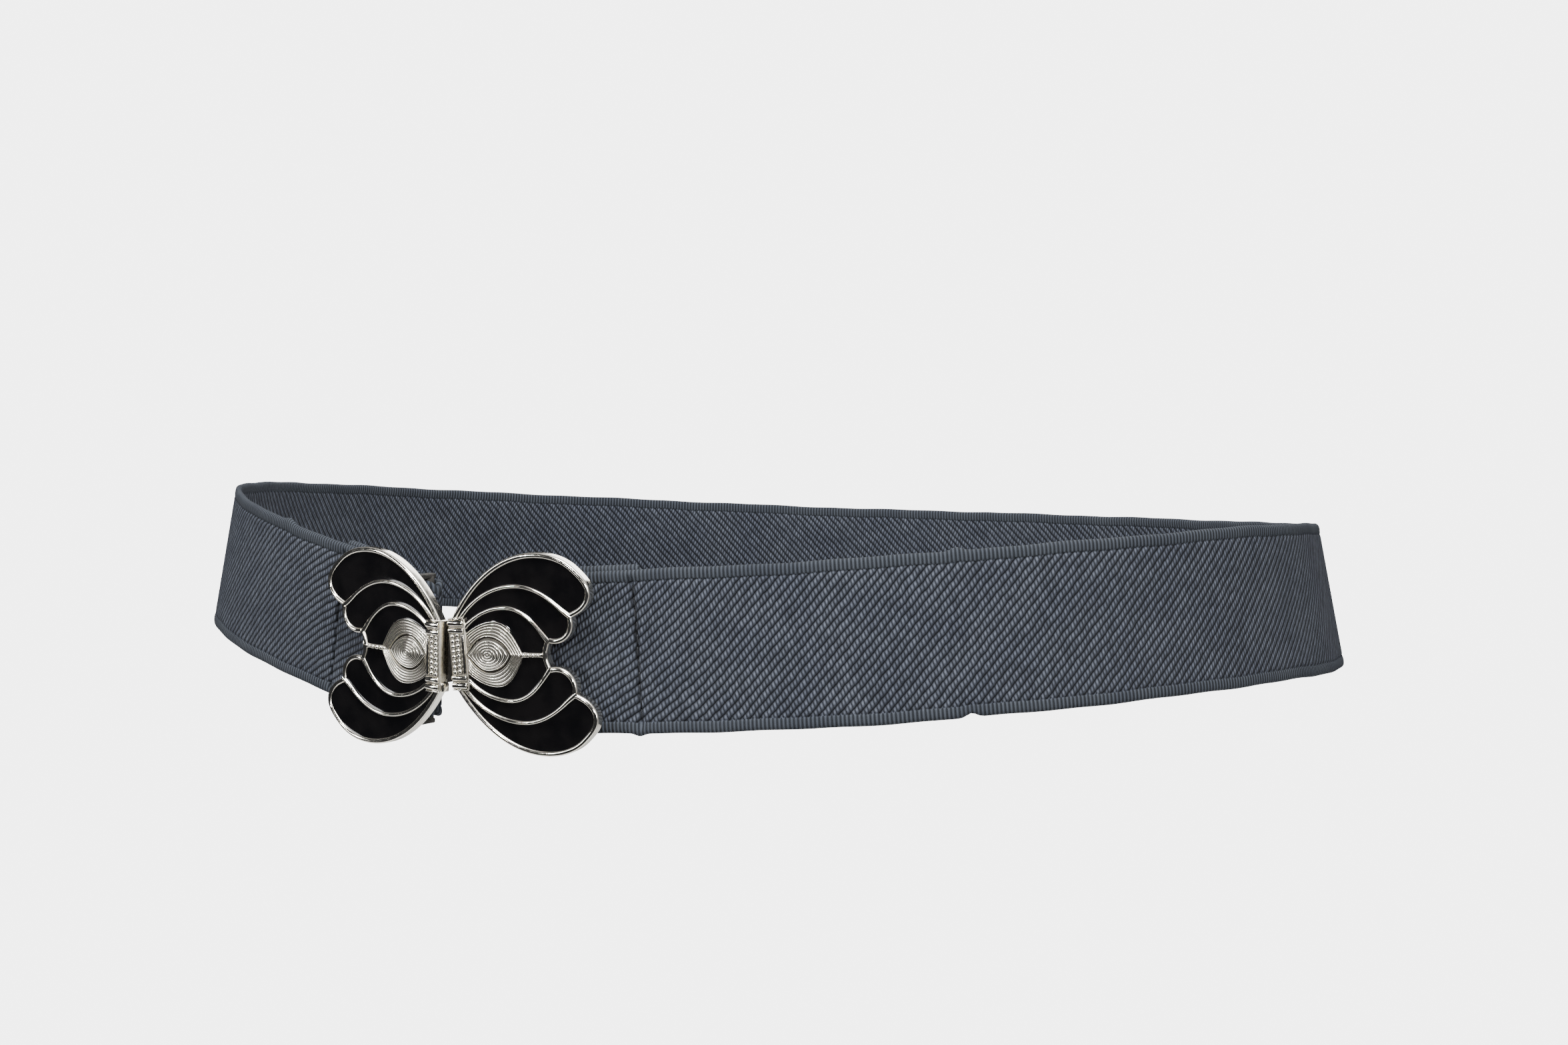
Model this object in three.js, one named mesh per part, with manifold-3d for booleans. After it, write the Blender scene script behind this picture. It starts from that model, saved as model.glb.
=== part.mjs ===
// A stretch belt: a strip of elastic webbing closed round the waist by a two-part cast butterfly clasp.
// Millimetres. +Z is up, the wearer faces -Y, and the origin is the middle of the worn loop at
// the clasp's height.
import * as THREE from "three";
import { mergeVertices } from "three/addons/utils/BufferGeometryUtils.js";
import Module from "manifold-3d";

const wasm = await Module();
wasm.setup();

// The worn loop, seen from above: a superellipse, a little squarer than an ellipse.
const loopHalfWidth = 152;
const loopHalfDepth = 118.5;
const loopSquareness = 2.2;
// The clasp sits this many degrees from the middle of the front, towards the wearer's right.
const claspTurn = -10;
// The belt is slung: its high side is this far above the middle of the front.
const slingRise = 28;
// The webbing's lower edge stands out by this angle where it lies on the hips.
const hipFlare = 11;

// The belt's course round the body. turn: degrees from the front, towards the wearer's left.
// rise: height of the webbing's middle line, as a share of slingRise. flare: share of hipFlare.
const course = [
  { turn: -90, rise: 0.83, flare: 1.0 },
  { turn: -62, rise: 0.76, flare: 0.85 },
  { turn: -42, rise: 0.52, flare: 0.25 },
  { turn: -29, rise: 0.29, flare: -0.15 },
  { turn: -17, rise: 0.07, flare: -0.4 },
  { turn: -5, rise: -0.02, flare: -0.6 },
  { turn: 7, rise: 0.02, flare: -0.35 },
  { turn: 21, rise: 0.09, flare: 0.0 },
  { turn: 46, rise: 0.25, flare: 0.05 },
  { turn: 71, rise: 0.37, flare: 0.35 },
  { turn: 96, rise: 0.39, flare: 0.9 },
  { turn: 132, rise: 0.42, flare: 1.0 },
  { turn: 177, rise: 0.54, flare: 0.9 },
  { turn: 227, rise: 0.73, flare: 1.0 },
];

// The webbing.
const webbingWidth = 38;
const webbingThickness = 1.6;
const webbingEdgeRound = 0.45;
const layerGap = 0.3;
// At the strap bar the webbing is squeezed between the lugs, and its folded corners are rounded.
// From there to its full width and its own course takes it the length of settleRun.
const squeezedHalfWidth = 16.7;
const settleRun = 9;
const foldCornerRound = 3.5;
// Length of a section of the front layer round the body, and of one beside the clasp.
const runStep = 8;
const claspRunStep = 2.5;

// Both clasp halves.
const plateThickness = 1.2;
const rimTop = 2.6;
const rimWidth = 1.35;
const partitionWidth = 1.4;
const enamelTop = 2.2;
const pieceGap = 0.3;
const outerCorner = 0.35;

const columnWidth = 4.5;
const columnHalfHeight = 8.5;
const columnTop = 2.9;
const columnRibRadius = 0.75;
const columnRibPitch = 1.7;
const columnRibs = 2;
const beadRadius = 0.62;
const beadPitch = 1.24;
const beadRows = 9;
const beadColumns = [1.15, 3.0];

const eyeTop = 3.0;
const eyeGrooveFloor = 2.5;
const pupilTop = 3.5;
const eyeStep = 0.28;
const bridgeWidth = 0.9;

const barRadius = 1.2;
const barReach = 11.2;
const barClearance = 0.3;
const strapStandOff = 2.5;
const lugThickness = 1.2;
const lugHalfLength = 1.1;
const lugClearance = 0.3;

const tongueThickness = 1.25;
const tongueClearance = 0.4;
const tongueReach = 5.4;
const tongueHalfWidth = 6.5;
const tongueRoot = 2.6;
const tongueRootDrop = 0.6;
const keeperThickness = 1.2;
const keeperWidth = 1.6;
const keeperReach = 2.0;
const keeperPost = 1.3;

// Where each half sits. side: +1 towards the wearer's left. axisHeight: height of its middle line
// at the inner edge of the column. roll: its outer end up. lean: its top out, when negative.
// swing: its outer end stands off the webbing by this angle. gap: from the clasp's middle line to
// the inner edge of its column, along the loop.
// tail: length of the folded-back end of the webbing, from the strap bar.
const halves = {
  right: { side: 1, axisHeight: -0.4, roll: 0.5, lean: -7, swing: 4, gap: 0.1, tail: 37 },
  left: { side: -1, axisHeight: -1.3, roll: 4.4, lean: -4, swing: -1, gap: 1.0, tail: 31 },
};

// The wing's drawing: u runs outward from the inner edge of the column, v up from the wing's axis.
// Each row is a station on a curve: u as a share of wingLength, v as a share of wingHalfHeight,
// and the curve's heading there in degrees. The lower half is the upper half's mirror image.
const wingLength = 38.9;
const wingHalfHeight = 23.9;
const outerCusp = { u: 0.864, v: 0.372 };
const innerCusp = { u: 0.697, v: 0.121 };
const outerFeatherEdge = [
  { u: 0.018, v: columnHalfHeight / wingHalfHeight, heading: 58 },
  { u: 0.63, v: 1.0, heading: 0 },
  { u: 0.905, v: 0.849, heading: -42 },
  { u: 1.0, v: 0.611, heading: -90 },
  { u: 0.941, v: 0.439, heading: -141 },
  { ...outerCusp, heading: -155 },
];
const middleFeatherEdge = [
  { ...outerCusp, heading: -75 },
  { ...innerCusp, heading: 165 },
];
const innerFeatherEdge = [
  { ...innerCusp, heading: -112 },
  { u: 0.676, v: 0, heading: -90 },
];
const outerPartition = [
  { u: 0.072, v: 0.339, heading: 52 },
  { u: 0.483, v: 0.674, heading: 0 },
  { u: 0.776, v: 0.477, heading: -40 },
  { ...outerCusp, heading: -32 },
];
const innerPartition = [
  { u: 0.108, v: 0.264, heading: 44 },
  { u: 0.401, v: 0.46, heading: 0 },
  { u: 0.64, v: 0.234, heading: -52 },
  { ...innerCusp, heading: -50 },
];
const eyeEdge = [
  { u: 0.108, v: 0.192, heading: 38 },
  { u: 0.319, v: 0.325, heading: 0 },
  { u: 0.46, v: 0.176, heading: -58 },
  { u: 0.519, v: 0, heading: -64 },
];
const pupilEdge = [
  { u: 0.118, v: 0, heading: 40 },
  { u: 0.262, v: 0.16, heading: 0 },
  { u: 0.425, v: 0, heading: -62 },
];
// Each stretch between stations is drawn as this many chords; a stretch that hardly turns is
// treated as turning by this many radians.
const stretchSegments = 6;
const straightest = 0.01;

const silver = { color: 0xc9c6bd, roughness: 0.16, metalness: 1.0 };
const blackEnamel = { color: 0x08080a, roughness: 0.06, metalness: 0.0 };
const charcoalElastic = { color: 0x3b4048, roughness: 0.92, metalness: 0.0 };

const radians = THREE.MathUtils.degToRad;
const smoothstep = THREE.MathUtils.smoothstep;
const up = new THREE.Vector3(0, 0, 1);

// A value of the course table at any turn: a periodic cubic through the rows.
function courseValue(column, turn) {
  const rows = course.length;
  const wrapped = course[0].turn + THREE.MathUtils.euclideanModulo(turn - course[0].turn, 360);
  const here = course.findLastIndex((row) => row.turn <= wrapped);
  const row = (index) => {
    const lap = Math.floor(index / rows);
    const entry = course[index - lap * rows];
    return { turn: entry.turn + 360 * lap, value: entry[column] };
  };
  const [before, start, end, after] = [-1, 0, 1, 2].map((step) => row(here + step));
  const slope = (from, to) => (to.value - from.value) / (to.turn - from.turn);
  const span = end.turn - start.turn;
  const s = (wrapped - start.turn) / span;
  const startSlope = slope(before, end) * span;
  const endSlope = slope(start, after) * span;
  return (
    start.value * (1 + 2 * s) * (1 - s) ** 2 +
    startSlope * s * (1 - s) ** 2 +
    end.value * s * s * (3 - 2 * s) -
    endSlope * s * s * (1 - s)
  );
}

// The middle line of the webbing as it lies round the body, starting at the clasp's middle line.
class BeltLine extends THREE.Curve {
  getPoint(t, target = new THREE.Vector3()) {
    const turn = claspTurn + 360 * t;
    const reach = (value) => Math.sign(value) * Math.abs(value) ** (2 / loopSquareness);
    return target.set(
      loopHalfWidth * reach(Math.sin(radians(turn))),
      -loopHalfDepth * reach(Math.cos(radians(turn))),
      slingRise * courseValue("rise", turn),
    );
  }
}
const beltLine = new BeltLine();
beltLine.arcLengthDivisions = 1440;
const loopLength = beltLine.getLength();

// The frame of the webbing at a distance along the loop from the clasp's middle line: a point,
// the direction across its width and the direction outward from the body.
function beltFrame(distance) {
  const share = THREE.MathUtils.euclideanModulo(distance / loopLength, 1);
  const t = beltLine.getUtoTmapping(share);
  const point = beltLine.getPoint(t);
  const nudge = 0.0005;
  const along = beltLine.getPoint(t + nudge).sub(beltLine.getPoint(t - nudge)).normalize();
  const flare = radians(hipFlare * courseValue("flare", claspTurn + 360 * t));
  const level = new THREE.Vector3(along.y, -along.x, 0).normalize();
  const outward = level.multiplyScalar(Math.cos(flare)).addScaledVector(up, Math.sin(flare));
  outward.addScaledVector(along, -outward.dot(along)).normalize();
  const across = new THREE.Vector3().crossVectors(outward, along).negate();
  if (across.z < 0) across.negate();
  return { point, along, across, outward };
}

// A clasp half lies along the chord of the loop between its strap bar and its outer end, swung
// out a little, with the back of its plate strapStandOff outside the webbing's middle.
function placeHalf({ side, axisHeight, roll, lean, swing, gap }) {
  const at = (reach) => beltFrame(side * (reach + gap)).point.setZ(0);
  const barPoint = at(barReach);
  const outwardAlong = at(wingLength).sub(barPoint).normalize();
  outwardAlong.applyAxisAngle(up, -side * radians(swing));
  const level = new THREE.Vector3(outwardAlong.y, -outwardAlong.x, 0).multiplyScalar(side);
  const along = outwardAlong
    .clone()
    .multiplyScalar(Math.cos(radians(roll)))
    .addScaledVector(up, Math.sin(radians(roll)));
  const outward = level
    .clone()
    .multiplyScalar(Math.cos(radians(lean)))
    .addScaledVector(up, Math.sin(radians(lean)));
  outward.addScaledVector(along, -outward.dot(along)).normalize();
  const xAxis = along.clone().multiplyScalar(side);
  const yAxis = new THREE.Vector3().crossVectors(outward, xAxis);
  const origin = barPoint.clone().addScaledVector(outwardAlong, -barReach).setZ(axisHeight);
  origin.addScaledVector(outward, strapStandOff);
  const group = new THREE.Group();
  group.position.copy(origin);
  group.quaternion.setFromRotationMatrix(new THREE.Matrix4().makeBasis(xAxis, yAxis, outward));
  group.scale.x = side;
  group.updateMatrixWorld(true);
  return group;
}
const groups = { left: placeHalf(halves.left), right: placeHalf(halves.right) };

// The webbing

// Centre of the fold round a strap bar, measured inward from the middle of the front layer.
const foldRadius = barRadius + barClearance + webbingThickness / 2;
const squeezeEnd = barReach + lugHalfLength + lugClearance;
const settleEnd = squeezeEnd + settleRun;

// A point of the webbing near a clasp half: reach is measured along the half from its column,
// inset inward from the front layer's middle, across from the webbing's middle line.
// Close to the bar it follows the clasp half, and further out the belt's course.
function webbingPoint(name, reach, inset, across) {
  const { side, gap } = halves[name];
  const frame = beltFrame(side * (reach + gap));
  const free = frame.point
    .addScaledVector(frame.across, across)
    .addScaledVector(frame.outward, -inset);
  const held = new THREE.Vector3(reach, across, -strapStandOff - inset);
  held.applyMatrix4(groups[name].matrixWorld);
  return held.lerp(free, smoothstep(reach, squeezeEnd, settleEnd));
}

function halfWidthAt(reach) {
  const widening = smoothstep(reach, squeezeEnd, settleEnd);
  return THREE.MathUtils.lerp(squeezedHalfWidth, webbingWidth / 2, widening);
}

// One cross-section of the strip. face is the direction of its outer face in the plane of
// reach and inset.
function section(name, reach, inset, face, halfWidth) {
  const half = webbingThickness / 2;
  const outline = [
    [halfWidth, -(half - webbingEdgeRound)],
    [halfWidth, half - webbingEdgeRound],
    [halfWidth - webbingEdgeRound, half],
    [-(halfWidth - webbingEdgeRound), half],
    [-halfWidth, half - webbingEdgeRound],
    [-halfWidth, -(half - webbingEdgeRound)],
    [-(halfWidth - webbingEdgeRound), -half],
    [halfWidth - webbingEdgeRound, -half],
  ];
  return outline.map(([across, lift]) =>
    webbingPoint(name, reach + lift * face.reach, inset + lift * face.inset, across),
  );
}

// The sections of one end of the strip, from the cut end of the tail round the bar.
function foldedEnd(name) {
  const { tail } = halves[name];
  const tailSections = 6;
  const foldSections = 8;
  const nestedInset = webbingThickness + layerGap;
  const sections = [];
  for (let i = 0; i <= tailSections; i++) {
    const reach = barReach + (tail * (tailSections - i)) / tailSections;
    const spread = 1 - smoothstep(reach, barReach, settleEnd);
    const inset = THREE.MathUtils.lerp(nestedInset, 2 * foldRadius, spread);
    sections.push(section(name, reach, inset, { reach: 0, inset: 1 }, halfWidthAt(reach)));
  }
  for (let i = 1; i <= foldSections; i++) {
    const angle = Math.PI * (1 - i / foldSections);
    const reach = barReach - foldRadius * Math.sin(angle);
    const inset = foldRadius * (1 - Math.cos(angle));
    const face = { reach: -Math.sin(angle), inset: -Math.cos(angle) };
    const halfWidth = squeezedHalfWidth - foldCornerRound * (1 - Math.abs(Math.cos(angle))) ** 2;
    sections.push(section(name, reach, inset, face, halfWidth));
  }
  return sections;
}

// The front layer between two reaches on one side, not counting the first.
function frontRun(name, reachFrom, reachTo, step) {
  const count = Math.max(1, Math.round((reachTo - reachFrom) / step));
  const sections = [];
  for (let i = 1; i <= count; i++) {
    const reach = reachFrom + ((reachTo - reachFrom) * i) / count;
    sections.push(section(name, reach, 0, { reach: 0, inset: -1 }, halfWidthAt(reach)));
  }
  return sections;
}

// A closed skin over a row of sections that all have the same number of points.
function loft(sections) {
  const around = sections[0].length;
  const positions = sections.flat().flatMap((point) => [point.x, point.y, point.z]);
  const faces = [];
  for (let row = 0; row + 1 < sections.length; row++) {
    for (let k = 0; k < around; k++) {
      const a = row * around + k;
      const b = row * around + ((k + 1) % around);
      faces.push(a, b, b + around, a, b + around, a + around);
    }
  }
  const last = (sections.length - 1) * around;
  for (let k = 1; k + 1 < around; k++) {
    faces.push(0, k + 1, k);
    faces.push(last, last + k, last + k + 1);
  }
  const geometry = new THREE.BufferGeometry();
  geometry.setAttribute("position", new THREE.Float32BufferAttribute(positions, 3));
  geometry.setIndex(faces);
  return geometry;
}

function webbing() {
  const farSide = (name) => loopLength / 2 - halves[name].gap;
  const rightSide = [
    ...foldedEnd("right"),
    ...frontRun("right", barReach, settleEnd, claspRunStep),
    ...frontRun("right", settleEnd, farSide("right"), runStep),
  ];
  const leftSide = [
    ...foldedEnd("left"),
    ...frontRun("left", barReach, settleEnd, claspRunStep),
    ...frontRun("left", settleEnd, farSide("left") - runStep, runStep),
  ];
  return loft([...rightSide, ...leftSide.toReversed()]);
}

// Solids

function solidFrom(geometry) {
  const bare = geometry.clone();
  bare.deleteAttribute("normal");
  bare.deleteAttribute("uv");
  const merged = mergeVertices(bare, 1e-4);
  return new wasm.Manifold(
    new wasm.Mesh({
      numProp: 3,
      vertProperties: new Float32Array(merged.attributes.position.array),
      triVerts: new Uint32Array(merged.index.array),
    }),
  );
}

function geometryFrom(solid) {
  const mesh = solid.getMesh();
  const geometry = new THREE.BufferGeometry();
  geometry.setAttribute("position", new THREE.BufferAttribute(mesh.vertProperties, 3));
  geometry.setIndex(new THREE.BufferAttribute(mesh.triVerts, 1));
  return geometry;
}

function plate(points, from, to) {
  const shape = new THREE.Shape(points);
  const geometry = new THREE.ExtrudeGeometry(shape, { depth: to - from, bevelEnabled: false });
  return solidFrom(geometry.translate(0, 0, from));
}

function block([u0, u1], [v0, v1], [w0, w1]) {
  const geometry = new THREE.BoxGeometry(u1 - u0, v1 - v0, w1 - w0);
  return solidFrom(geometry.translate((u0 + u1) / 2, (v0 + v1) / 2, (w0 + w1) / 2));
}

// A copy of a geometry under a matrix, with its faces turned back outward by a mirroring one.
function placed(geometry, matrix) {
  const copy = geometry.clone().applyMatrix4(matrix);
  if (matrix.determinant() < 0) {
    const index = copy.index.array;
    for (let i = 0; i < index.length; i += 3) {
      [index[i + 1], index[i + 2]] = [index[i + 2], index[i + 1]];
    }
  }
  return copy;
}

// A geometry drawn in one clasp half's frame, carried into another's.
function carried(geometry, from, to) {
  return placed(geometry, to.matrixWorld.clone().invert().multiply(from.matrixWorld));
}

// The curves of the wing

const onWing = ({ u, v }) => new THREE.Vector2(u * wingLength, v * wingHalfHeight);

// Points along a curve through stations. Each stretch is a Bezier curve whose handles are those
// of a circular arc that turns as much.
function trace(stations) {
  const path = new THREE.CurvePath();
  for (let i = 0; i + 1 < stations.length; i++) {
    const from = stations[i];
    const to = stations[i + 1];
    const start = onWing(from);
    const end = onWing(to);
    const chord = start.distanceTo(end);
    const swing = THREE.MathUtils.euclideanModulo(to.heading - from.heading + 180, 360) - 180;
    const turn = Math.max(Math.abs(radians(swing)), straightest);
    const handle = (chord * (2 / 3) * Math.tan(turn / 4)) / Math.sin(turn / 2);
    const direction = (heading) =>
      new THREE.Vector2(Math.cos(radians(heading)), Math.sin(radians(heading)));
    const leave = direction(from.heading).multiplyScalar(handle).add(start);
    const arrive = direction(to.heading).multiplyScalar(-handle).add(end);
    path.add(new THREE.CubicBezierCurve(start, leave, arrive, end));
  }
  return path.getPoints(stretchSegments);
}

const mirror = (points) => points.map((point) => new THREE.Vector2(point.x, -point.y)).reverse();

// A band along traced points, left wide to the left of the way and right wide to the right.
function band(points, left, right) {
  const normals = points.map((point, i) => {
    const before = points[Math.max(i - 1, 0)];
    const after = points[Math.min(i + 1, points.length - 1)];
    const way = after.clone().sub(before).normalize();
    return new THREE.Vector2(-way.y, way.x);
  });
  const shifted = (amount) => points.map((point, i) => point.clone().addScaledVector(normals[i], amount));
  return [...shifted(-right), ...shifted(left).reverse()];
}

// The wing's outline: up the column, round the feathers and back by the mirror image.
function wingOutline() {
  const upper = [
    new THREE.Vector2(0, columnHalfHeight),
    ...trace(outerFeatherEdge),
    ...trace(middleFeatherEdge).slice(1),
    ...trace(innerFeatherEdge).slice(1),
  ];
  return [...upper, ...mirror(upper).slice(1)];
}

// Everything that stands up round the enamel in the upper half, widened by spare.
function wallSolids(spare, from, to) {
  const rim = (stations) => band(trace(stations), spare, rimWidth + spare);
  const partition = (stations) =>
    band(trace(stations), partitionWidth / 2 + spare, partitionWidth / 2 + spare);
  const outlines = [
    rim(outerFeatherEdge),
    rim(middleFeatherEdge),
    rim(innerFeatherEdge),
    partition(outerPartition),
    partition(innerPartition),
  ];
  const walls = outlines.map((outline) => plate(outline, from, to));
  walls.push(eyeSolid(eyeEdge, spare, from, to));
  const columnEnd = columnHalfHeight + spare;
  walls.push(block([-spare, columnWidth + spare], [-columnEnd, columnEnd], [from, to]));
  const bridge = bridgeWidth / 2 + spare;
  const bridgeRun = [eyeEdge[0], innerFeatherEdge.at(-1)].map((station) => onWing(station).x);
  walls.push(block(bridgeRun, [-bridge, bridge], [from, to]));
  return walls;
}

// An almond between a traced edge and its mirror image, grown by spare.
function eyeSolid(stations, spare, from, to) {
  const upper = trace(stations);
  const middle = new THREE.Vector2((upper[0].x + upper.at(-1).x) / 2, 0);
  const grow = (point) => {
    const away = point.clone().sub(middle);
    return point.clone().addScaledVector(away.normalize(), spare);
  };
  const edge = upper.map(grow);
  const lower = mirror(edge).filter((point) => Math.abs(point.y) > 1e-6);
  return plate([...edge, ...lower], from, to);
}

// The floor of each upper feather, between the middle lines of its walls.
const feathers = {
  outer: [...trace(outerFeatherEdge), ...trace(outerPartition).reverse().slice(1)],
  middle: [
    ...trace(outerPartition),
    ...trace(middleFeatherEdge).slice(1),
    ...trace(innerPartition).reverse().slice(1),
  ],
  inner: [
    ...trace(innerPartition),
    ...trace(innerFeatherEdge).slice(1),
    onWing({ u: innerPartition[0].u, v: 0 }),
  ],
};

// The hollow of a feather: its floor less the walls, which are widened by spare.
function hollow(feather, spare, from, to) {
  let solid = plate(feathers[feather].toReversed(), from, to);
  for (const wall of wallSolids(spare, from - 1, to + 1)) solid = solid.subtract(wall);
  return solid;
}

// A solid's mirror image below the wing's axis.
function flipped(solid) {
  return solidFrom(placed(geometryFrom(solid), new THREE.Matrix4().makeScale(1, -1, 1)));
}

// The pieces of a casting

function columnRelief() {
  const length = columnWidth - 2 * outerCorner;
  const parts = [block([0, columnWidth], [-columnHalfHeight, columnHalfHeight], [0, columnTop])];
  for (let i = 0; i < columnRibs; i++) {
    const height = columnHalfHeight - columnRibRadius - outerCorner - i * columnRibPitch;
    for (const end of [-1, 1]) {
      const rib = new THREE.CylinderGeometry(columnRibRadius, columnRibRadius, length, 8);
      parts.push(solidFrom(rib.rotateZ(Math.PI / 2).translate(columnWidth / 2, end * height, columnTop)));
    }
  }
  for (const u of beadColumns) {
    for (let row = 0; row < beadRows; row++) {
      const bead = new THREE.SphereGeometry(beadRadius, 6, 4);
      const v = (row - (beadRows - 1) / 2) * beadPitch;
      parts.push(solidFrom(bead.rotateX(Math.PI / 2).translate(u, v, columnTop)));
    }
  }
  return parts;
}

function eyeRelief() {
  const shrink = (stations, amount, from, to) => eyeSolid(stations, -amount, from, to);
  const rise = eyeTop - eyeGrooveFloor;
  const groove = eyeSolid(pupilEdge, 3 * eyeStep, eyeGrooveFloor, eyeTop + 1);
  const ridges = eyeSolid(eyeEdge, 0, 0, eyeTop - rise / 2)
    .add(shrink(eyeEdge, 2 * eyeStep, 0, eyeTop))
    .subtract(groove);
  const pupil = eyeSolid(pupilEdge, 0, 0, eyeTop).add(shrink(pupilEdge, 3 * eyeStep, 0, pupilTop));
  return [ridges, pupil];
}

// The strap bar behind the plate, carried by a lug at each end.
function strapBar() {
  const barDepth = strapStandOff + foldRadius;
  const lugInner = squeezedHalfWidth + lugClearance;
  const bar = new THREE.CylinderGeometry(barRadius, barRadius, 2 * lugInner + lugThickness, 10);
  const parts = [solidFrom(bar.translate(barReach, 0, -barDepth))];
  for (const end of [-1, 1]) {
    const across = [end * lugInner, end * (lugInner + lugThickness)].toSorted((a, b) => a - b);
    const along = [barReach - lugHalfLength, barReach + lugHalfLength];
    parts.push(block(along, across, [-barDepth - barRadius, plateThickness / 2]));
  }
  return parts;
}

// The hook tongue: it leaves the left half behind its column and lies under the right half's plate.
function hookTongue() {
  const top = -tongueClearance;
  const length = tongueReach + tongueRoot;
  const lying = new THREE.BoxGeometry(length, 2 * tongueHalfWidth, tongueThickness);
  lying.translate(tongueReach - length / 2, 0, top - tongueThickness / 2);
  const root = block(
    [0, tongueRoot],
    [-tongueHalfWidth, tongueHalfWidth],
    [top - tongueThickness - tongueRootDrop, plateThickness / 2],
  );
  return [solidFrom(carried(lying, groups.right, groups.left)), root];
}

// The keeper on the right half: a bar behind the tongue, on a post at each end.
function tongueKeeper() {
  const barTop = -tongueThickness - 2 * tongueClearance;
  const barBottom = barTop - keeperThickness;
  const along = [keeperReach, keeperReach + keeperWidth];
  const inner = tongueHalfWidth + 2 * tongueClearance;
  const parts = [block(along, [-inner - keeperPost, inner + keeperPost], [barBottom, barTop])];
  for (const end of [-1, 1]) {
    const across = [end * inner, end * (inner + keeperPost)].toSorted((a, b) => a - b);
    parts.push(block(along, across, [barBottom, plateThickness / 2]));
  }
  return parts;
}

function casting(name) {
  let solid = plate(wingOutline().toReversed(), 0, rimTop);
  for (const feather of Object.keys(feathers)) {
    const upper = hollow(feather, 0, plateThickness, rimTop + 1);
    solid = solid.subtract(upper).subtract(flipped(upper));
  }
  const fastening = name === "left" ? hookTongue() : tongueKeeper();
  for (const part of [...columnRelief(), ...eyeRelief(), ...strapBar(), ...fastening]) {
    solid = solid.add(part);
  }
  return solid;
}

// The assembly

function named(name, geometry, finish) {
  geometry.computeVertexNormals();
  const mesh = new THREE.Mesh(geometry, new THREE.MeshStandardMaterial(finish));
  mesh.name = name;
  return mesh;
}

function claspHalf(name) {
  const group = groups[name];
  group.add(named(name + "_wing", geometryFrom(casting(name)), silver));
  for (const feather of Object.keys(feathers)) {
    const upper = hollow(feather, pieceGap, plateThickness + pieceGap, enamelTop);
    const cells = { upper, lower: flipped(upper) };
    for (const [half, cell] of Object.entries(cells)) {
      group.add(named([name, "enamel", half, feather].join("_"), geometryFrom(cell), blackEnamel));
    }
  }
  return group;
}

const belt = new THREE.Group();
belt.add(named("elastic_webbing", webbing(), charcoalElastic));
belt.add(claspHalf("left"), claspHalf("right"));

export default belt;
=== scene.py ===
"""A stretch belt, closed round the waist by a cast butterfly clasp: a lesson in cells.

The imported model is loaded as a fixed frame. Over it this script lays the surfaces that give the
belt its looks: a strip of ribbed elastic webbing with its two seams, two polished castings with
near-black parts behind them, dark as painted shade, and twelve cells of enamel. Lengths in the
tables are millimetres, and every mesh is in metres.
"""

# %% [markdown]
# The frame comes first. It brings the plain solids of the belt to the place where they were packed,
# and each piece made below stands for one of them.

import math

import bmesh
import bpy
import numpy as np
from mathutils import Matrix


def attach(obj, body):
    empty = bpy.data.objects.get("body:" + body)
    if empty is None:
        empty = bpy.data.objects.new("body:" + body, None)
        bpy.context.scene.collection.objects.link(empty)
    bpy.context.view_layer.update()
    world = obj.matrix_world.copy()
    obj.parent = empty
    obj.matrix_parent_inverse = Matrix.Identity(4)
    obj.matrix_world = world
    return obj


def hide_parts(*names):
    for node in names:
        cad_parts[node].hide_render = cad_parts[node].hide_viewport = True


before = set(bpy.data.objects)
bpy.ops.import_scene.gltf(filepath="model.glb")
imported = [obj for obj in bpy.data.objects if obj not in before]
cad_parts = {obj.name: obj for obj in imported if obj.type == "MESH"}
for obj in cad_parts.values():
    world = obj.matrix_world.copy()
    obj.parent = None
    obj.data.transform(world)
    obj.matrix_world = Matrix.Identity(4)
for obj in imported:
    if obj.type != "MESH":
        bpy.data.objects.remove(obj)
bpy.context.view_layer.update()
MM = 0.001
print("nodes in the frame:", sorted(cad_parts))

# %% [markdown]
# The camera stands in front of the belt, a little towards the wearer's left, at the height of the
# webbing, and looks level. Its place and its lens were found by laying the worn loop over the
# picture of the real belt until both edges of the webbing agreed.

# %% Camera
def add_object(name, data):
    """A Blender object that shows some data, linked to the scene."""
    thing = bpy.data.objects.new(name, data)
    bpy.context.scene.collection.objects.link(thing)
    return thing


camera_data = bpy.data.cameras.new("camera")
camera_data.sensor_width = 36.0
camera_data.lens = 56.48
camera = add_object("camera", camera_data)
camera.location = np.array([254.3, -632.8, 30.0]) * MM
camera.rotation_euler = (math.radians(90), 0.0, math.radians(21.5))
bpy.context.scene.camera = camera
print("camera at", tuple(camera.location), "with a lens of", camera_data.lens, "mm")

# %% [markdown]
# Every finish is a small tree of shader nodes. A few helpers keep those trees short: one sets the
# inputs of a node, one adds a node, and the rest stand for the kinds of node that are used most.


# %% Helpers for shaders
def feed(node, inputs):
    """Sets a node's inputs, given by name or number: to a number, a colour, or a linked socket."""
    for key, value in inputs.items():
        if isinstance(value, bpy.types.NodeSocket):
            node.id_data.links.new(value, node.inputs[key])
        else:
            node.inputs[key].default_value = (*value, 1.0) if isinstance(value, tuple) else value
    return node


def add_node(tree, kind, inputs=None, **settings):
    """A new node of one kind, with its settings and its inputs."""
    node = tree.nodes.new("ShaderNode" + kind)
    for setting, value in settings.items():
        setattr(node, setting, value)
    return feed(node, inputs or {})


def math_node(tree, operation, *values):
    """A Math node on sockets or numbers; MULTIPLY_ADD is a b + c."""
    return add_node(tree, "Math", dict(enumerate(values)), operation=operation).outputs[0]


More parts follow.
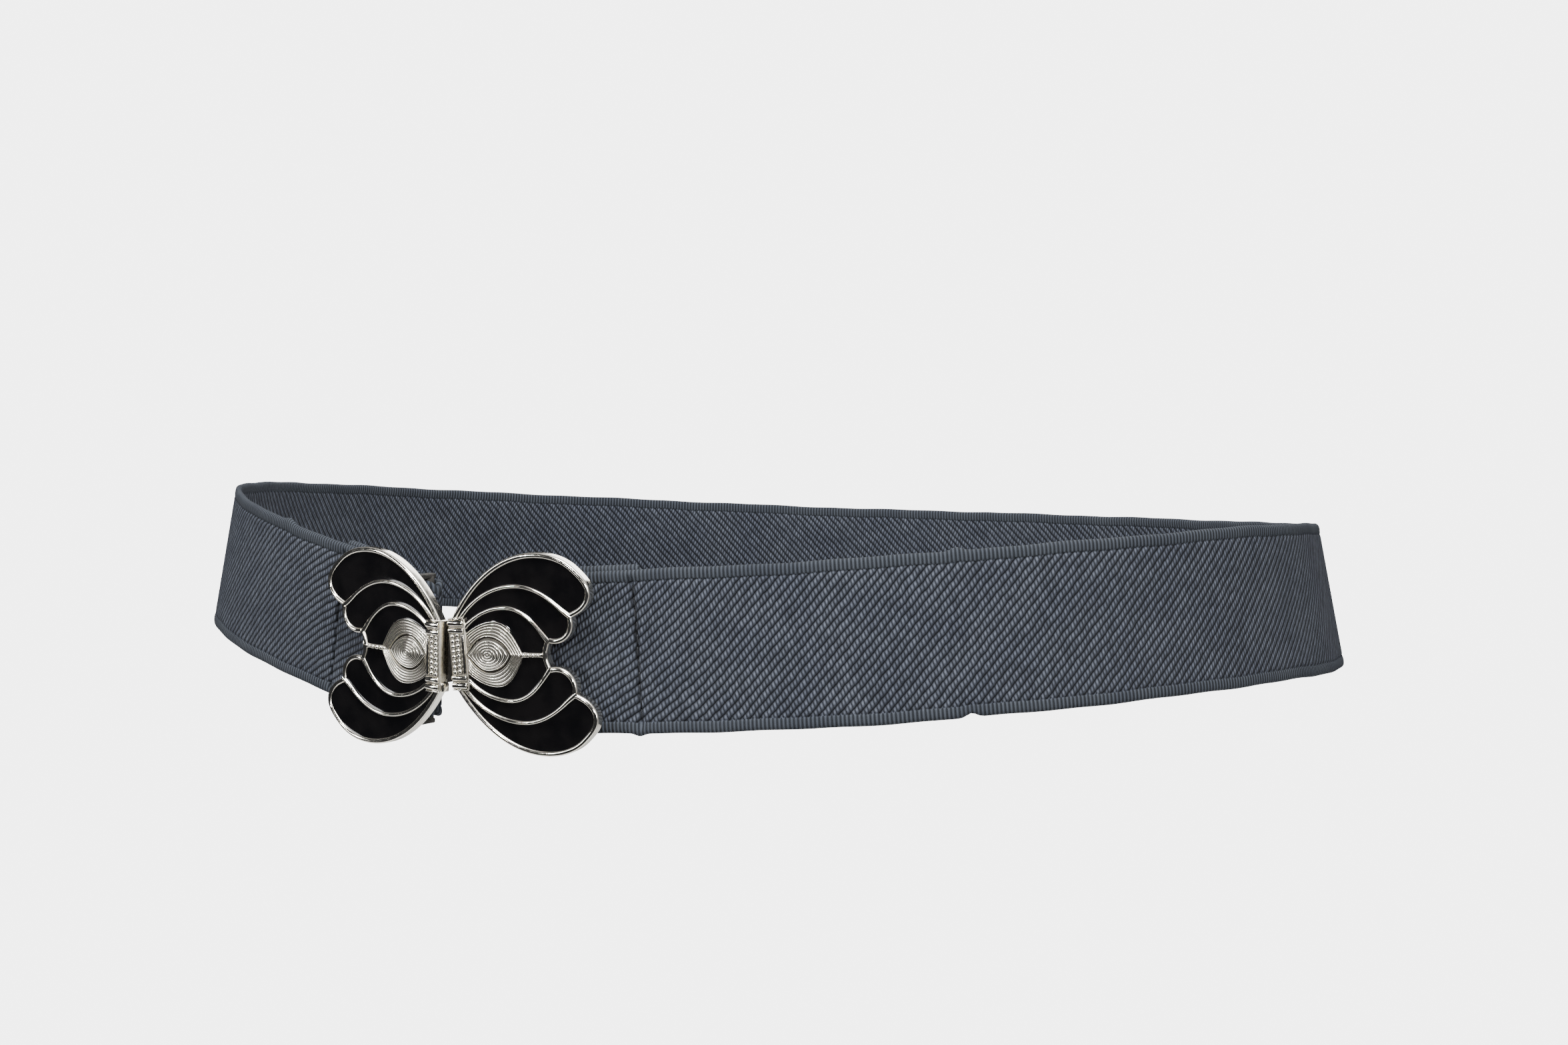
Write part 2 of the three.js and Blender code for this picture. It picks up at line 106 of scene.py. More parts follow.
def ramp_value(tree, value, low, high):
    """0 below low and 1 above high, smooth between them."""
    limits = {"Value": value, "From Min": low, "From Max": high}
    return add_node(tree, "MapRange", limits, interpolation_type="SMOOTHSTEP").outputs["Result"]


def mix_colour(tree, factor, low, high, blend="MIX"):
    """A colour between two, by a factor; each end is a colour or a socket."""
    ends = {"Factor": factor, 6: low, 7: high}
    return add_node(tree, "Mix", ends, data_type="RGBA", blend_type=blend).outputs[2]


def mix_value(tree, factor, low, high):
    """A number between two, by a factor; each end is a number or a socket."""
    return add_node(tree, "Mix", {"Factor": factor, 2: low, 3: high}, data_type="FLOAT").outputs[0]


def new_material(name):
    """A material, its tree of nodes and its Principled shader."""
    material = bpy.data.materials.new(name)
    material.use_nodes = True
    return material, material.node_tree, material.node_tree.nodes["Principled BSDF"]


print("shader helpers ready")

# %% [markdown]
# Polished metal shows what stands round it more than it shows itself. A few large soft panels of
# light against a dim room give the clasp its bright bands and dark lines, and give the cloth an
# even light. Only the camera sees the room as pale: what the belt mirrors is dim. A pale floor
# gives back a little light from below, and the camera doesn't see it.


# %% Floor and light
def soft_panel(name, place, target, size, power, colour=(1.0, 1.0, 1.0)):
    """A rectangular panel of light at a place, turned towards a target."""
    data = bpy.data.lights.new(name, "AREA")
    data.shape = "RECTANGLE"
    data.size, data.size_y = size
    data.energy = power
    data.color = colour
    panel = add_object(name, data)
    way = np.array(target) - np.array(place)
    yaw = math.atan2(way[1], way[0]) - math.pi / 2
    pitch = math.atan2(way[2], math.hypot(way[0], way[1])) + math.pi / 2
    panel.location = place
    panel.rotation_euler = (pitch, 0.0, yaw)


floor_height = -0.5
floor_plan = [(-2.0, -0.2), (2.0, -0.2), (2.0, 2.0), (-2.0, 2.0)]
floor_material, tree, shader = new_material("floor")
feed(shader, {"Base Color": (0.86, 0.86, 0.86), "Roughness": 0.9})
floor_mesh = bpy.data.meshes.new("floor")
floor_mesh.from_pydata([(x, y, floor_height) for x, y in floor_plan], [], [(0, 1, 2, 3)])
floor_mesh.materials.append(floor_material)
floor = add_object("floor", floor_mesh)
floor.visible_camera = False

world = bpy.data.worlds.new("room")
world.use_nodes = True
room = world.node_tree
seen = feed(room.nodes["Background"], {"Color": (5.0, 5.0, 5.0)}).outputs["Background"]
dim = add_node(room, "Background", {"Color": (0.028, 0.029, 0.032)}).outputs["Background"]
camera_ray = add_node(room, "LightPath").outputs["Is Camera Ray"]
either = add_node(room, "MixShader", {"Fac": camera_ray, 1: dim, 2: seen})
feed(room.nodes["World Output"], {"Surface": either.outputs["Shader"]})
bpy.context.scene.world = world

clasp_front = (-0.02, -0.12, 0.0)
soft_panel("top_panel", (0.1, -0.55, 0.95), clasp_front, (0.6, 0.25), 23.0)
soft_panel("left_panel", (-0.95, -0.75, 0.30), clasp_front, (0.12, 0.7), 4.2)
soft_panel("right_panel", (1.0, -0.8, 0.30), clasp_front, (0.12, 0.7), 11.0)
soft_panel("front_panel", (0.34, -0.95, 0.20), clasp_front, (0.08, 0.08), 6.2, (1.0, 0.97, 0.93))
soft_panel("near_left_panel", (-0.37, -1.05, 0.10), clasp_front, (0.05, 0.05), 3.3)
soft_panel("far_left_panel", (-0.66, -0.87, 0.24), clasp_front, (0.05, 0.05), 2.9)
soft_panel("back_panel", (0.0, 0.9, 0.9), (0.0, 0.0, 0.0), (1.2, 0.6), 12.0)

# %% [markdown]
# Seen from above, the worn loop is a superellipse, a little squarer than an ellipse. Its height
# and the slope of its face follow a short table, because the belt hangs lower at the front and
# stands out where it lies on the hips. The same numbers made the solids, so the cloth below falls
# exactly where they are.

# %% The belt's course round the body
loop_half_width = 152.0
loop_half_depth = 118.5
loop_squareness = 2.2
clasp_turn = -10.0
sling_rise = 28.0
hip_flare = 11.0
course_turn = np.array([-90, -62, -42, -29, -17, -5, 7, 21, 46, 71, 96, 132, 177, 227.0])
course_rise = np.array(
    [0.83, 0.76, 0.52, 0.29, 0.07, -0.02, 0.02, 0.09, 0.25, 0.37, 0.39, 0.42, 0.54, 0.73]
)
course_flare = np.array(
    [1.0, 0.85, 0.25, -0.15, -0.4, -0.6, -0.35, 0.0, 0.05, 0.35, 0.9, 1.0, 0.9, 1.0]
)


def smoothstep(value, low, high):
    """0 below low, 1 above high, and 3s^2 - 2s^3 of the share s between them."""
    share = np.clip((value - low) / (high - low), 0.0, 1.0)
    return share * share * (3.0 - 2.0 * share)


def bell(value, middle, width):
    """e^-s^2, where s is the distance from the middle over the width."""
    return np.exp(-(((value - middle) / width) ** 2))


def course_value(values, turn):
    """A periodic cubic through the table: between two rows, the Hermite cubic whose slope at
    each row is the slope of the line between that row's two neighbours."""
    laps = np.arange(-1, 3)[:, None]
    knots = (course_turn[None, :] + 360.0 * laps).ravel()
    heights = np.tile(values, 4)
    slopes = np.gradient(heights)
    slopes[1:-1] = (heights[2:] - heights[:-2]) / (knots[2:] - knots[:-2])
    wrapped = course_turn[0] + np.mod(turn - course_turn[0], 360.0)
    here = np.searchsorted(knots, wrapped, side="right") - 1
    span = knots[here + 1] - knots[here]
    s = (wrapped - knots[here]) / span
    return (
        heights[here] * (1 + 2 * s) * (1 - s) ** 2
        + slopes[here] * span * s * (1 - s) ** 2
        + heights[here + 1] * s * s * (3 - 2 * s)
        - slopes[here + 1] * span * s * s * (1 - s)
    )


def belt_point(turn):
    """The middle line: x = a |sin|^(2/n), y = -b |cos|^(2/n) with their signs, and z from the table."""
    angle = np.radians(turn)
    power = 2.0 / loop_squareness
    x = loop_half_width * np.sign(np.sin(angle)) * np.abs(np.sin(angle)) ** power
    y = -loop_half_depth * np.sign(np.cos(angle)) * np.abs(np.cos(angle)) ** power
    return np.stack([x, y, sling_rise * course_value(course_rise, turn)], axis=-1)


turn_table = clasp_turn + np.linspace(0.0, 360.0, 14401)
steps = np.linalg.norm(np.diff(belt_point(turn_table), axis=0), axis=1)
length_table = np.concatenate([[0.0], np.cumsum(steps)])
loop_length = length_table[-1]
print("the worn loop is", round(loop_length, 1), "mm round")


# %% A frame at any distance along the loop
small_turn = 0.18


def unit(vectors):
    """Each vector divided by its own length."""
    return vectors / np.linalg.norm(vectors, axis=-1, keepdims=True)


def belt_frame(distance):
    """Point, direction across and direction outward at distances from the clasp's middle line.
    Outward is level, turned up by the flare, and made square to the line; across completes it."""
    turn = np.interp(np.mod(distance, loop_length), length_table, turn_table)
    along = unit(belt_point(turn + small_turn) - belt_point(turn - small_turn))
    flare = np.radians(hip_flare * course_value(course_flare, turn))[..., None]
    level = unit(np.stack([along[..., 1], -along[..., 0], np.zeros_like(turn)], axis=-1))
    outward = level * np.cos(flare) + np.array([0.0, 0.0, 1.0]) * np.sin(flare)
    outward = unit(outward - along * np.sum(outward * along, axis=-1, keepdims=True))
    across = -np.cross(outward, along)
    across *= np.where(across[..., 2:] < 0, -1.0, 1.0)
    return belt_point(turn), across, outward


# %% [markdown]
# Each clasp half is flat and lies along the chord of the loop behind it, swung, rolled and leaned
# by a few degrees. Inside a half, u runs outward from its column, v up from its axis and w out
# from the back of its plate. A small frame turns those three numbers into a place on the belt.

# %% The frames of the two clasp halves
bar_reach = 11.2
strap_stand_off = 2.5
wing_length = 38.9
wing_half_height = 23.9
half_settings = {
    "right": dict(side=1, axis_height=-0.4, roll=0.5, lean=-7.0, swing=4.0, gap=0.1),
    "left": dict(side=-1, axis_height=-1.3, roll=4.4, lean=-4.0, swing=-1.0, gap=1.0),
}


def turned(vector, angle):
    """A level vector turned about the upright by an angle in radians."""
    c, s = math.cos(angle), math.sin(angle)
    return np.array([c * vector[0] - s * vector[1], s * vector[0] + c * vector[1], vector[2]])


def place_half(side, axis_height, roll, lean, swing, gap):
    """Origin and three axes of a clasp half, from the chord between its strap bar and its tip."""
    flat = np.array([1.0, 1.0, 0.0])
    bar_point = belt_frame(np.array(side * (bar_reach + gap)))[0] * flat
    tip_point = belt_frame(np.array(side * (wing_length + gap)))[0] * flat
    outward_along = turned(unit(tip_point - bar_point), -side * math.radians(swing))
    level = side * np.array([outward_along[1], -outward_along[0], 0.0])
    upright = np.array([0.0, 0.0, 1.0])
    along = outward_along * math.cos(math.radians(roll)) + upright * math.sin(math.radians(roll))
    outward = level * math.cos(math.radians(lean)) + upright * math.sin(math.radians(lean))
    outward = unit(outward - along * np.dot(outward, along))
    origin = bar_point - outward_along * bar_reach
    origin[2] = axis_height
    origin = origin + outward * strap_stand_off
    return {"origin": origin, "axes": np.array([along, np.cross(outward, side * along), outward])}


halves = {name: place_half(**settings) for name, settings in half_settings.items()}


def in_half(name, points):
    """Places (u, v, w) in a clasp half as places on the belt: origin + u along + v up + w outward."""
    return halves[name]["origin"] + np.asarray(points) @ halves[name]["axes"]


print("clasp halves at", {name: half["origin"].round(1).tolist() for name, half in halves.items()})

# %% [markdown]
# Almost every surface here is a tube: a grid of points whose columns close into rings. One helper
# joins neighbours by four-sided faces and caps both ends, and one joins surfaces into a Blender
# object, whose faces Blender itself turns outward after doubled points are merged.

# %% Helpers for surfaces
sharp_angle = 35.0


def tube_surface(grid, painted_shade=0.0):
    """A closed tube: each face joins a point, its neighbour in the ring and the same two one ring
    later, and both end rings are capped. Painted shade, 0 to 1, is one number or one per point."""
    rows, columns = grid.shape[:2]
    row = np.arange(rows - 1)[:, None] * columns
    column = np.arange(columns)[None, :]
    beside = (column + 1) % columns
    corners = [row + column, row + beside, row + columns + beside, row + columns + column]
    faces = np.stack(corners, axis=-1).reshape(-1, 4).tolist()
    faces.append(list(range(columns)))
    faces.append(list(range((rows - 1) * columns, rows * columns)))
    return grid.reshape(-1, 3), faces, painted_shade


def point_values(mesh, name, values):
    """Keeps one number per point, under a name that a material reads."""
    layer = mesh.attributes.new(name, "FLOAT", "POINT")
    layer.data.foreach_set("value", np.ascontiguousarray(values, dtype=np.float32).ravel())


def smooth_object(mesh, material, merge):
    """The mesh as an object of one material: doubles merged if asked, caps cut into triangles,
    faces turned outward and shaded smooth."""
    work = bmesh.new()
    work.from_mesh(mesh)
    if merge:
        bmesh.ops.remove_doubles(work, verts=work.verts, dist=2e-7)
        bmesh.ops.dissolve_degenerate(work, dist=1e-7, edges=work.edges)
    wide = [face for face in work.faces if len(face.verts) > 4]
    bmesh.ops.triangulate(work, faces=wide)
    bmesh.ops.recalc_face_normals(work, faces=work.faces)
    work.to_mesh(mesh)
    work.free()
    mesh.polygons.foreach_set("use_smooth", np.ones(len(mesh.polygons), dtype=bool))
    mesh.materials.append(material)
    return add_object(mesh.name, mesh)


def belt_piece(name, surfaces, material):
    """One object from surfaces in millimetres, each of points, faces and painted shade. It is smooth
    up to the sharp angle, and keeps the painted shade as an attribute that the metal reads."""
    points, faces, painted_shade = [], [], []
    count = 0
    for part_points, part_faces, part_painted_shade in surfaces:
        points.append(part_points)
        faces.extend([[index + count for index in face] for face in part_faces])
        painted_shade.append(np.broadcast_to(part_painted_shade, len(part_points)))
        count += len(part_points)
    mesh = bpy.data.meshes.new(name)
    mesh.from_pydata((np.concatenate(points) * MM).tolist(), [], faces)
    if np.any(np.concatenate(painted_shade)):
        point_values(mesh, "painted_shade", np.concatenate(painted_shade))
    piece = smooth_object(mesh, material, merge=True)
    mesh.set_sharp_from_angle(angle=math.radians(sharp_angle))
    return piece


def on_the_belt(piece, solid=None):
    """Parents a piece to the root and, where it stands for a solid, hides that solid."""
    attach(piece, "root")
    if solid:
        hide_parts(solid)
    return piece


print("helpers ready")

# %% [markdown]
# All finishes use the same soft mottle: lint and wear on the cloth, the twist of thread, and the
# faint unevenness of metal and enamel. It is built once as a group with named inputs, and each
# material gives it its own scale.


# %% The mottle, shared by all finishes
def new_group(name, place, numbers, results):
    """A shader group that reads a place and some numbers, whose values are given, and returns
    other numbers. Gives the group, the sockets to read from and the node that takes the results."""
    group = bpy.data.node_groups.new(name, "ShaderNodeTree")
    group.interface.new_socket(place, in_out="INPUT", socket_type="NodeSocketVector")
    for label, value in numbers.items():
        socket = group.interface.new_socket(label, in_out="INPUT", socket_type="NodeSocketFloat")
        socket.default_value = value
    for label in results:
        group.interface.new_socket(label, in_out="OUTPUT", socket_type="NodeSocketFloat")
    given = group.nodes.new("NodeGroupInput").outputs
    return group, given, group.nodes.new("NodeGroupOutput")


mottle_group, given, end = new_group("mottle", "Vector", {"Scale": 1.0}, ["Mottle"])
grain = {"Vector": given["Vector"], "Scale": given["Scale"], "Detail": 4.0}
noise = add_node(mottle_group, "TexNoise", grain).outputs["Fac"]
feed(end, {"Mottle": ramp_value(mottle_group, noise, 0.3, 0.7)})


def mottle(tree, scale, place=None):
    """The mottle at a scale, laid over a map, or over the object itself where no map is given."""
    if place is None:
        place = add_node(tree, "TexCoord").outputs["Object"]
    inputs = {"Vector": place, "Scale": scale}
    return add_node(tree, "Group", inputs, node_tree=mottle_group).outputs["Mottle"]


print("group:", mottle_group.name)


# %% [markdown]
# The webbing is a ribbed elastic. Round ribs about 1.6 mm apart climb across it, each a row of
# small knots, and both edges have a plain selvage with fine ribs straight across. The pattern is
# worked out from two maps of the strip: one along and across the cloth, and one along and across
# the ribs.

# %% Groups for the ribs and the selvage
rib_pitch = 1.62
rib_sway = 0.7
knot_pitch = 1.0
knot_shift = 0.37
knot_slant = -0.9
knot_depth = 0.72
selvage_pitch = 0.95
selvage_from = (16.1, 16.5)


def cord_round(tree, count):
    """Across each cord the share s runs from -1/2 to 1/2, and the height is 1 - 4 s^2. Gives
    both."""
    share = math_node(tree, "SUBTRACT", math_node(tree, "FRACT", count), 0.5)
    square = math_node(tree, "MULTIPLY", share, share)
    return share, math_node(tree, "MULTIPLY_ADD", square, -4.0, 1.0)


pitches = {"Rib Pitch": rib_pitch, "Knot Pitch": knot_pitch}
rib_group, given, end = new_group("twill ribs", "Ribs", pitches, ["Height", "Shade"])
wander = add_node(rib_group, "TexNoise", {"Vector": given["Ribs"], "Scale": 0.35, "Detail": 3.0})
split = add_node(rib_group, "SeparateXYZ", {"Vector": given["Ribs"]})
sway = math_node(rib_group, "MULTIPLY_ADD", wander.outputs["Fac"], rib_sway, -rib_sway / 2)
crossing = math_node(rib_group, "ADD", split.outputs["X"], sway)
crossing = math_node(rib_group, "DIVIDE", crossing, given["Rib Pitch"])
rib_number = math_node(rib_group, "FLOOR", crossing)
rib_share, rib_round = cord_round(rib_group, crossing)
running = math_node(rib_group, "DIVIDE", split.outputs["Y"], given["Knot Pitch"])
running = math_node(rib_group, "MULTIPLY_ADD", rib_number, knot_shift, running)
running = math_node(rib_group, "MULTIPLY_ADD", rib_share, knot_slant, running)
knot_number = math_node(rib_group, "FLOOR", running)
knot_round = cord_round(rib_group, running)[1]
knotted = math_node(rib_group, "MULTIPLY_ADD", knot_round, knot_depth, 1.0 - knot_depth)
rib_height = math_node(rib_group, "MULTIPLY", rib_round, knotted)
knot = add_node(rib_group, "CombineXYZ", {"X": rib_number, "Y": knot_number}).outputs["Vector"]
chance = add_node(rib_group, "TexWhiteNoise", {"Vector": knot}).outputs["Value"]
# Each knot's own tone, drawn at random.
shade = math_node(rib_group, "MULTIPLY_ADD", chance, 0.38, 0.66)
feed(end, {"Height": rib_height, "Shade": math_node(rib_group, "MULTIPLY", rib_height, shade)})

pitches = {"Pitch": selvage_pitch}
selvage_group, given, end = new_group("selvage", "Cloth", pitches, ["Height", "Mask"])
split = add_node(selvage_group, "SeparateXYZ", {"Vector": given["Cloth"]})
count = math_node(selvage_group, "DIVIDE", split.outputs["X"], given["Pitch"])
fine_round = cord_round(selvage_group, count)[1]
from_middle = math_node(selvage_group, "ABSOLUTE", split.outputs["Y"])
feed(end, {"Height": fine_round, "Mask": ramp_value(selvage_group, from_middle, *selvage_from)})
print("groups:", rib_group.name, "and", selvage_group.name)

# %% The webbing's finish
# Near-black colours painted as shade in the furrows between the ribs and in the selvage's fine furrows.
furrow_shade_colour = (0.0010, 0.0013, 0.0025)
rib_colour = (0.094, 0.107, 0.138)
selvage_furrow_shade = (0.014, 0.017, 0.023)
selvage_colour = (0.050, 0.058, 0.072)
# Near-black colour painted as the shadow in each seam's slit.
slit_shadow_colour = (0.0012, 0.0014, 0.0020)
lint_tints = ((0.88, 0.88, 0.9), (1.08, 1.07, 1.05))

webbing_material, tree, shader = new_material("charcoal elastic")
cloth_map = add_node(tree, "UVMap", uv_map="cloth").outputs["UV"]
rib_map = add_node(tree, "UVMap", uv_map="ribs").outputs["UV"]
# Painted shadow of the seams' slits, one number per point.
slit_shadow = add_node(tree, "Attribute", attribute_name="slit_shadow").outputs["Fac"]
ribs = add_node(tree, "Group", {"Ribs": rib_map}, node_tree=rib_group).outputs
selvage = add_node(tree, "Group", {"Cloth": cloth_map}, node_tree=selvage_group).outputs
# Painted shade: the cloth goes dark by the ribs' height in the furrows, and the selvage's likewise.
body_colour = mix_colour(tree, ribs["Shade"], furrow_shade_colour, rib_colour)
edge_colour = mix_colour(tree, selvage["Height"], selvage_furrow_shade, selvage_colour)
cloth_colour = mix_colour(tree, selvage["Mask"], body_colour, edge_colour)
lint_tint = mix_colour(tree, mottle(tree, 0.09, cloth_map), *lint_tints)
worn_colour = mix_colour(tree, 1.0, cloth_colour, lint_tint, "MULTIPLY")
weave_height = mix_value(tree, selvage["Mask"], ribs["Height"], selvage["Height"])
bump = add_node(tree, "Bump", {"Height": weave_height, "Strength": 0.9, "Distance": 0.0008})
feed(
    shader,
    {
        "Base Color": mix_colour(tree, slit_shadow, worn_colour, slit_shadow_colour),
        "Roughness": 0.88,
        "Specular IOR Level": 0.15,
        "Sheen Weight": 0.02,
        "Sheen Roughness": 0.5,
        "Normal": bump.outputs["Normal"],
    },
)
print("material:", webbing_material.name)

# %% [markdown]
# The castings are polished and silver-toned. Shade in grooves, on the flanks of ridges and under
# beads is painted as a darker colour, where the metal is also rougher, by a per-point attribute that
# each surface below sets: 0 on crests and 1 in the deepest grooves. The parts behind the plates are
# near black, as painted shade, and rough. The enamel is black glass, nearly a mirror.

# %% Silver and enamel
silver_colour = (0.90, 0.86, 0.765)
# Near-black colour painted where shade falls: in grooves, on ridge flanks and under beads.
painted_shade_colour = (0.014, 0.012, 0.010)

silver_material, tree, shader = new_material("polished silver")
# The attribute sets how much painted shade darkens the silver, and how rough the silver is.
painted_shade_value = add_node(tree, "Attribute", attribute_name="painted_shade").outputs["Fac"]
painted_shade_share = ramp_value(tree, painted_shade_value, 0.25, 0.95)
dull_share = ramp_value(tree, painted_shade_value, 0.0, 0.6)
smooth_polish = mix_value(tree, mottle(tree, 900.0), 0.07, 0.14)
feed(
    shader,
    {
        "Base Color": mix_colour(tree, painted_shade_share, silver_colour, painted_shade_colour),
        "Roughness": mix_value(tree, dull_share, smooth_polish, 0.5),
        "Metallic": 1.0,
    },
)


def mottled_material(name, scale, colours, roughnesses, inputs):
    """A material whose colour and roughness run between two ends by the mottle."""
    material, tree, shader = new_material(name)
    share = mottle(tree, scale)
    inputs["Base Color"] = mix_colour(tree, share, *colours)
    inputs["Roughness"] = mix_value(tree, share, *roughnesses)
    feed(shader, inputs)
    return material


# Painted shade: the parts behind the plates are coloured near black, and rough.
back_shade_material = mottled_material(
    "back parts dark as painted shade",
    700.0,
    ((0.022, 0.021, 0.020), (0.050, 0.048, 0.045)),
    (0.62, 0.8),
    {"Metallic": 0.2, "Specular IOR Level": 0.25},
)
enamel_material = mottled_material(
    "black enamel",
    160.0,
    ((0.0022, 0.0022, 0.0026), (0.0045, 0.0042, 0.0045)),
    (0.05, 0.09),
    {"Specular IOR Level": 0.35},
)
thread_material = mottled_material(
    "dark thread",
    2500.0,
    ((0.006, 0.007, 0.010), (0.020, 0.023, 0.030)),
    (0.8, 0.8),
    {},
)
print("materials:", [m.name for m in bpy.data.materials])

# %% [markdown]
# The webbing is one strip. It starts at a cut end behind the right half, comes forward round that
# half's strap bar, runs all the way round the body, goes round the left half's bar and ends behind
# it. Rows of a thin rounded section follow that way, so the strip is a grid closed round its width.
# Near each bar it follows the clasp, and further out the body.

# %% The strip's section
webbing_width = 38.0
webbing_thickness = 1.6
squeezed_half_width = 16.7
corner_round = 1.6
fold_rows = 20
bar_radius = 1.2
fold_radius = bar_radius + 0.3 + webbing_thickness / 2
squeeze_end = bar_reach + 1.4
settle_end = squeeze_end + 9.0
layer_gap = 0.3


def strip_section():
    """Places round the section, as (share of the half width, distance from the edge, face), where
    the face is 1 or -1. The distances crowd near the edges, where the cloth turns and where the
    selvage's groove lies."""
    near = np.array([0.0, 0.06, 0.22, 0.5, 0.85, 1.3, 1.75, 2.15, 2.45, 2.65, 2.85, 3.05, 3.35, 3.9])
    middle = np.linspace(5.0, webbing_width / 2, 8)
    half_way = np.concatenate([near, middle])
    from_edge = np.concatenate([half_way, half_way[-2::-1]])
    sign = np.concatenate([-np.ones(len(half_way)), np.ones(len(half_way) - 1)])
    across_share = sign * (1.0 - from_edge / (webbing_width / 2))
    front = np.stack([across_share, from_edge, np.ones_like(from_edge)], axis=-1)
    back = front[-2:0:-1] * np.array([1.0, 1.0, -1.0])
    return np.concatenate([front, back])


def half_thickness(from_edge):
    """Half the cloth's thickness: a quarter circle at the edge, a low swell over the selvage and
    a narrow groove inside it."""
    edge_round = webbing_thickness / 2
    turn_in = 1.0 - np.clip(from_edge / edge_round, 0.0, 1.0)
    body = edge_round * np.sqrt(np.clip(1.0 - turn_in**2, 0.0, 1.0))
    swell = 0.10 * bell(from_edge, 1.4, 0.8)
    groove = 0.20 * bell(from_edge, 2.8, 0.25)
    return body + np.where(from_edge > 0, swell - groove, 0.0)


section = strip_section()
print("points round the strip:", len(section))

# %% [markdown]
# A worn strip isn't perfect. Each seam is pulled in by its thread, each hidden end peeks about a
# millimetre over the top edge, and here and there an edge has a small bump or nick. These are
# small moves added to the places of the strip, most of them bell curves round their own spots.

# %% Folded ends and small irregularities
tail_length = {"right": 37.0, "left": 31.0}
tail_peek = {"right": 1.1, "left": 0.8}
peek_reach = 20.0
seam_distance = {"right": 46.2, "left": 40.4}
# Distance along the loop from the clasp, edge (+1 top, -1 bottom), outward move and length.
edge_marks = [
    (122.0, 1, 0.9, 1.7),
    (122.5, -1, -1.0, 1.5),
    (-67.0, 1, 0.9, 2.2),
    (45.5, -1, 0.6, 1.4),
]


def edge_move(distance, share):
    """How far the edges move out or in: the sum of the marks' bells along the strip, each on its
    own edge, with a slow waver of a tenth of a millimetre."""
    total = 0.10 * np.sin(distance / 7.3) * share + 0.07 * np.sin(distance / 2.9 + 1.0)
    for place, edge, amount, length in edge_marks:
        offset = np.mod(distance - place + loop_length / 2, loop_length) - loop_length / 2
        beside = np.clip(share * edge, 0.0, 1.0) ** 8
        total = total + edge * amount * bell(offset, 0.0, length) * beside
    return total


def seam_place(name, share):
    """Reach of the seam across the strip: nearly straight, with a slow wave in it."""
    return seam_distance[name] - 0.15 * share + 0.22 * np.sin(2.9 * share + 0.5)


def seam_dip(name, reach, share):
    """How far the seam pulls the cloth in: a narrow bell along the strip, gone near the edges."""
    beside = smoothstep(1.0 - np.abs(share), 0.04, 0.16)
    place = seam_place(name, share)
    return (0.95 * bell(reach, place, 0.45) + 0.25 * bell(reach, place, 3.0)) * beside


def seam_slit_shadow(name, reach, share):
    """The painted shadow in the seam's slit: a bell along the strip whose width comes and goes
    across it, widest a little above the middle."""
    width = 0.24 + 0.26 * bell(share, 0.15, 0.34) + 0.07 * np.sin(11.0 * share)
    place = seam_place(name, share) + 0.1 * np.sin(17.0 * share)
    return bell(reach, place, width) * smoothstep(1.0 - np.abs(share), 0.10, 0.30)


print("seams at", seam_distance, "mm from the clasp")


# %% The strip's rows
run_step = 1.0
# Within this limit of a seam the rows stand closer together, at these distances from it.
fine_limit = 2.6
fine_rows = np.arange(-2.5, fine_limit, 0.2)


def half_width_at(reach):
    """Half the strip's width: squeezed between the bar's lugs, full from settle_end on."""
    widening = smoothstep(reach, squeeze_end, settle_end)
    return squeezed_half_width + (webbing_width / 2 - squeezed_half_width) * widening


def webbing_place(name, reach, inset, across):
    """A place on the cloth beside a clasp half: that half's frame near the bar, the belt's
    course further out, and a smooth blend between them."""
    settings = half_settings[name]
    point, sideways, outward = belt_frame(settings["side"] * (reach + settings["gap"]))
    free = point + sideways * across[..., None] - outward * inset[..., None]
    held = in_half(name, np.stack([reach, across, -strap_stand_off - inset], axis=-1))
    blend = smoothstep(reach, squeeze_end, settle_end)[..., None]
    return held + (free - held) * blend


def half_rows(name, run_end):
    """Rows from a tail's cut end, round the bar and along the front layer to run_end. Returns, one
    per row: reach, inset, the two parts of the face's direction, half width, place along the
    cloth, and how much the row peeks over the top edge."""
    tail = tail_length[name]
    tail_reach = np.linspace(bar_reach + tail, bar_reach, int(tail / run_step) + 1)
    spread = 1.0 - smoothstep(tail_reach, bar_reach, settle_end)
    nested = webbing_thickness + layer_gap
    tail_inset = nested + (2 * fold_radius - nested) * spread
    cut = bar_reach + tail - tail_reach
    cut_round = corner_round * np.clip(1.0 - cut / corner_round, 0.0, 1.0) ** 2
    tail_cloth = bar_reach - math.pi * fold_radius - (tail_reach - bar_reach)
    peek = tail_peek[name] * smoothstep(tail_reach, bar_reach, bar_reach + peek_reach)
    angle = math.pi * (1.0 - np.arange(1, fold_rows + 1) / fold_rows)
    fold_reach = bar_reach - fold_radius * np.sin(angle)
    fold_inset = fold_radius * (1.0 - np.cos(angle))
    fold_half = squeezed_half_width - corner_round * (1.0 - np.abs(np.cos(angle))) ** 2
    fold_cloth = bar_reach - fold_radius * angle
    front_reach = np.linspace(bar_reach, run_end, int((run_end - bar_reach) / run_step) + 1)[1:]
    away = front_reach[np.abs(front_reach - seam_distance[name]) > fine_limit]
    front_reach = np.sort(np.concatenate([away, seam_distance[name] + fine_rows]))
    none_tail, none_fold, none_front = (0.0 * row for row in (tail_reach, angle, front_reach))
    columns = [
        (tail_reach, fold_reach, front_reach),
        (tail_inset, fold_inset, none_front),
        (none_tail, -np.sin(angle), none_front),
        (none_tail + 1.0, -np.cos(angle), none_front - 1.0),
        (half_width_at(tail_reach) - cut_round, fold_half, half_width_at(front_reach)),
        (tail_cloth, fold_cloth, front_reach),
        (peek, none_fold, none_front),
    ]
    return np.stack([np.concatenate(parts) for parts in columns])[..., None]


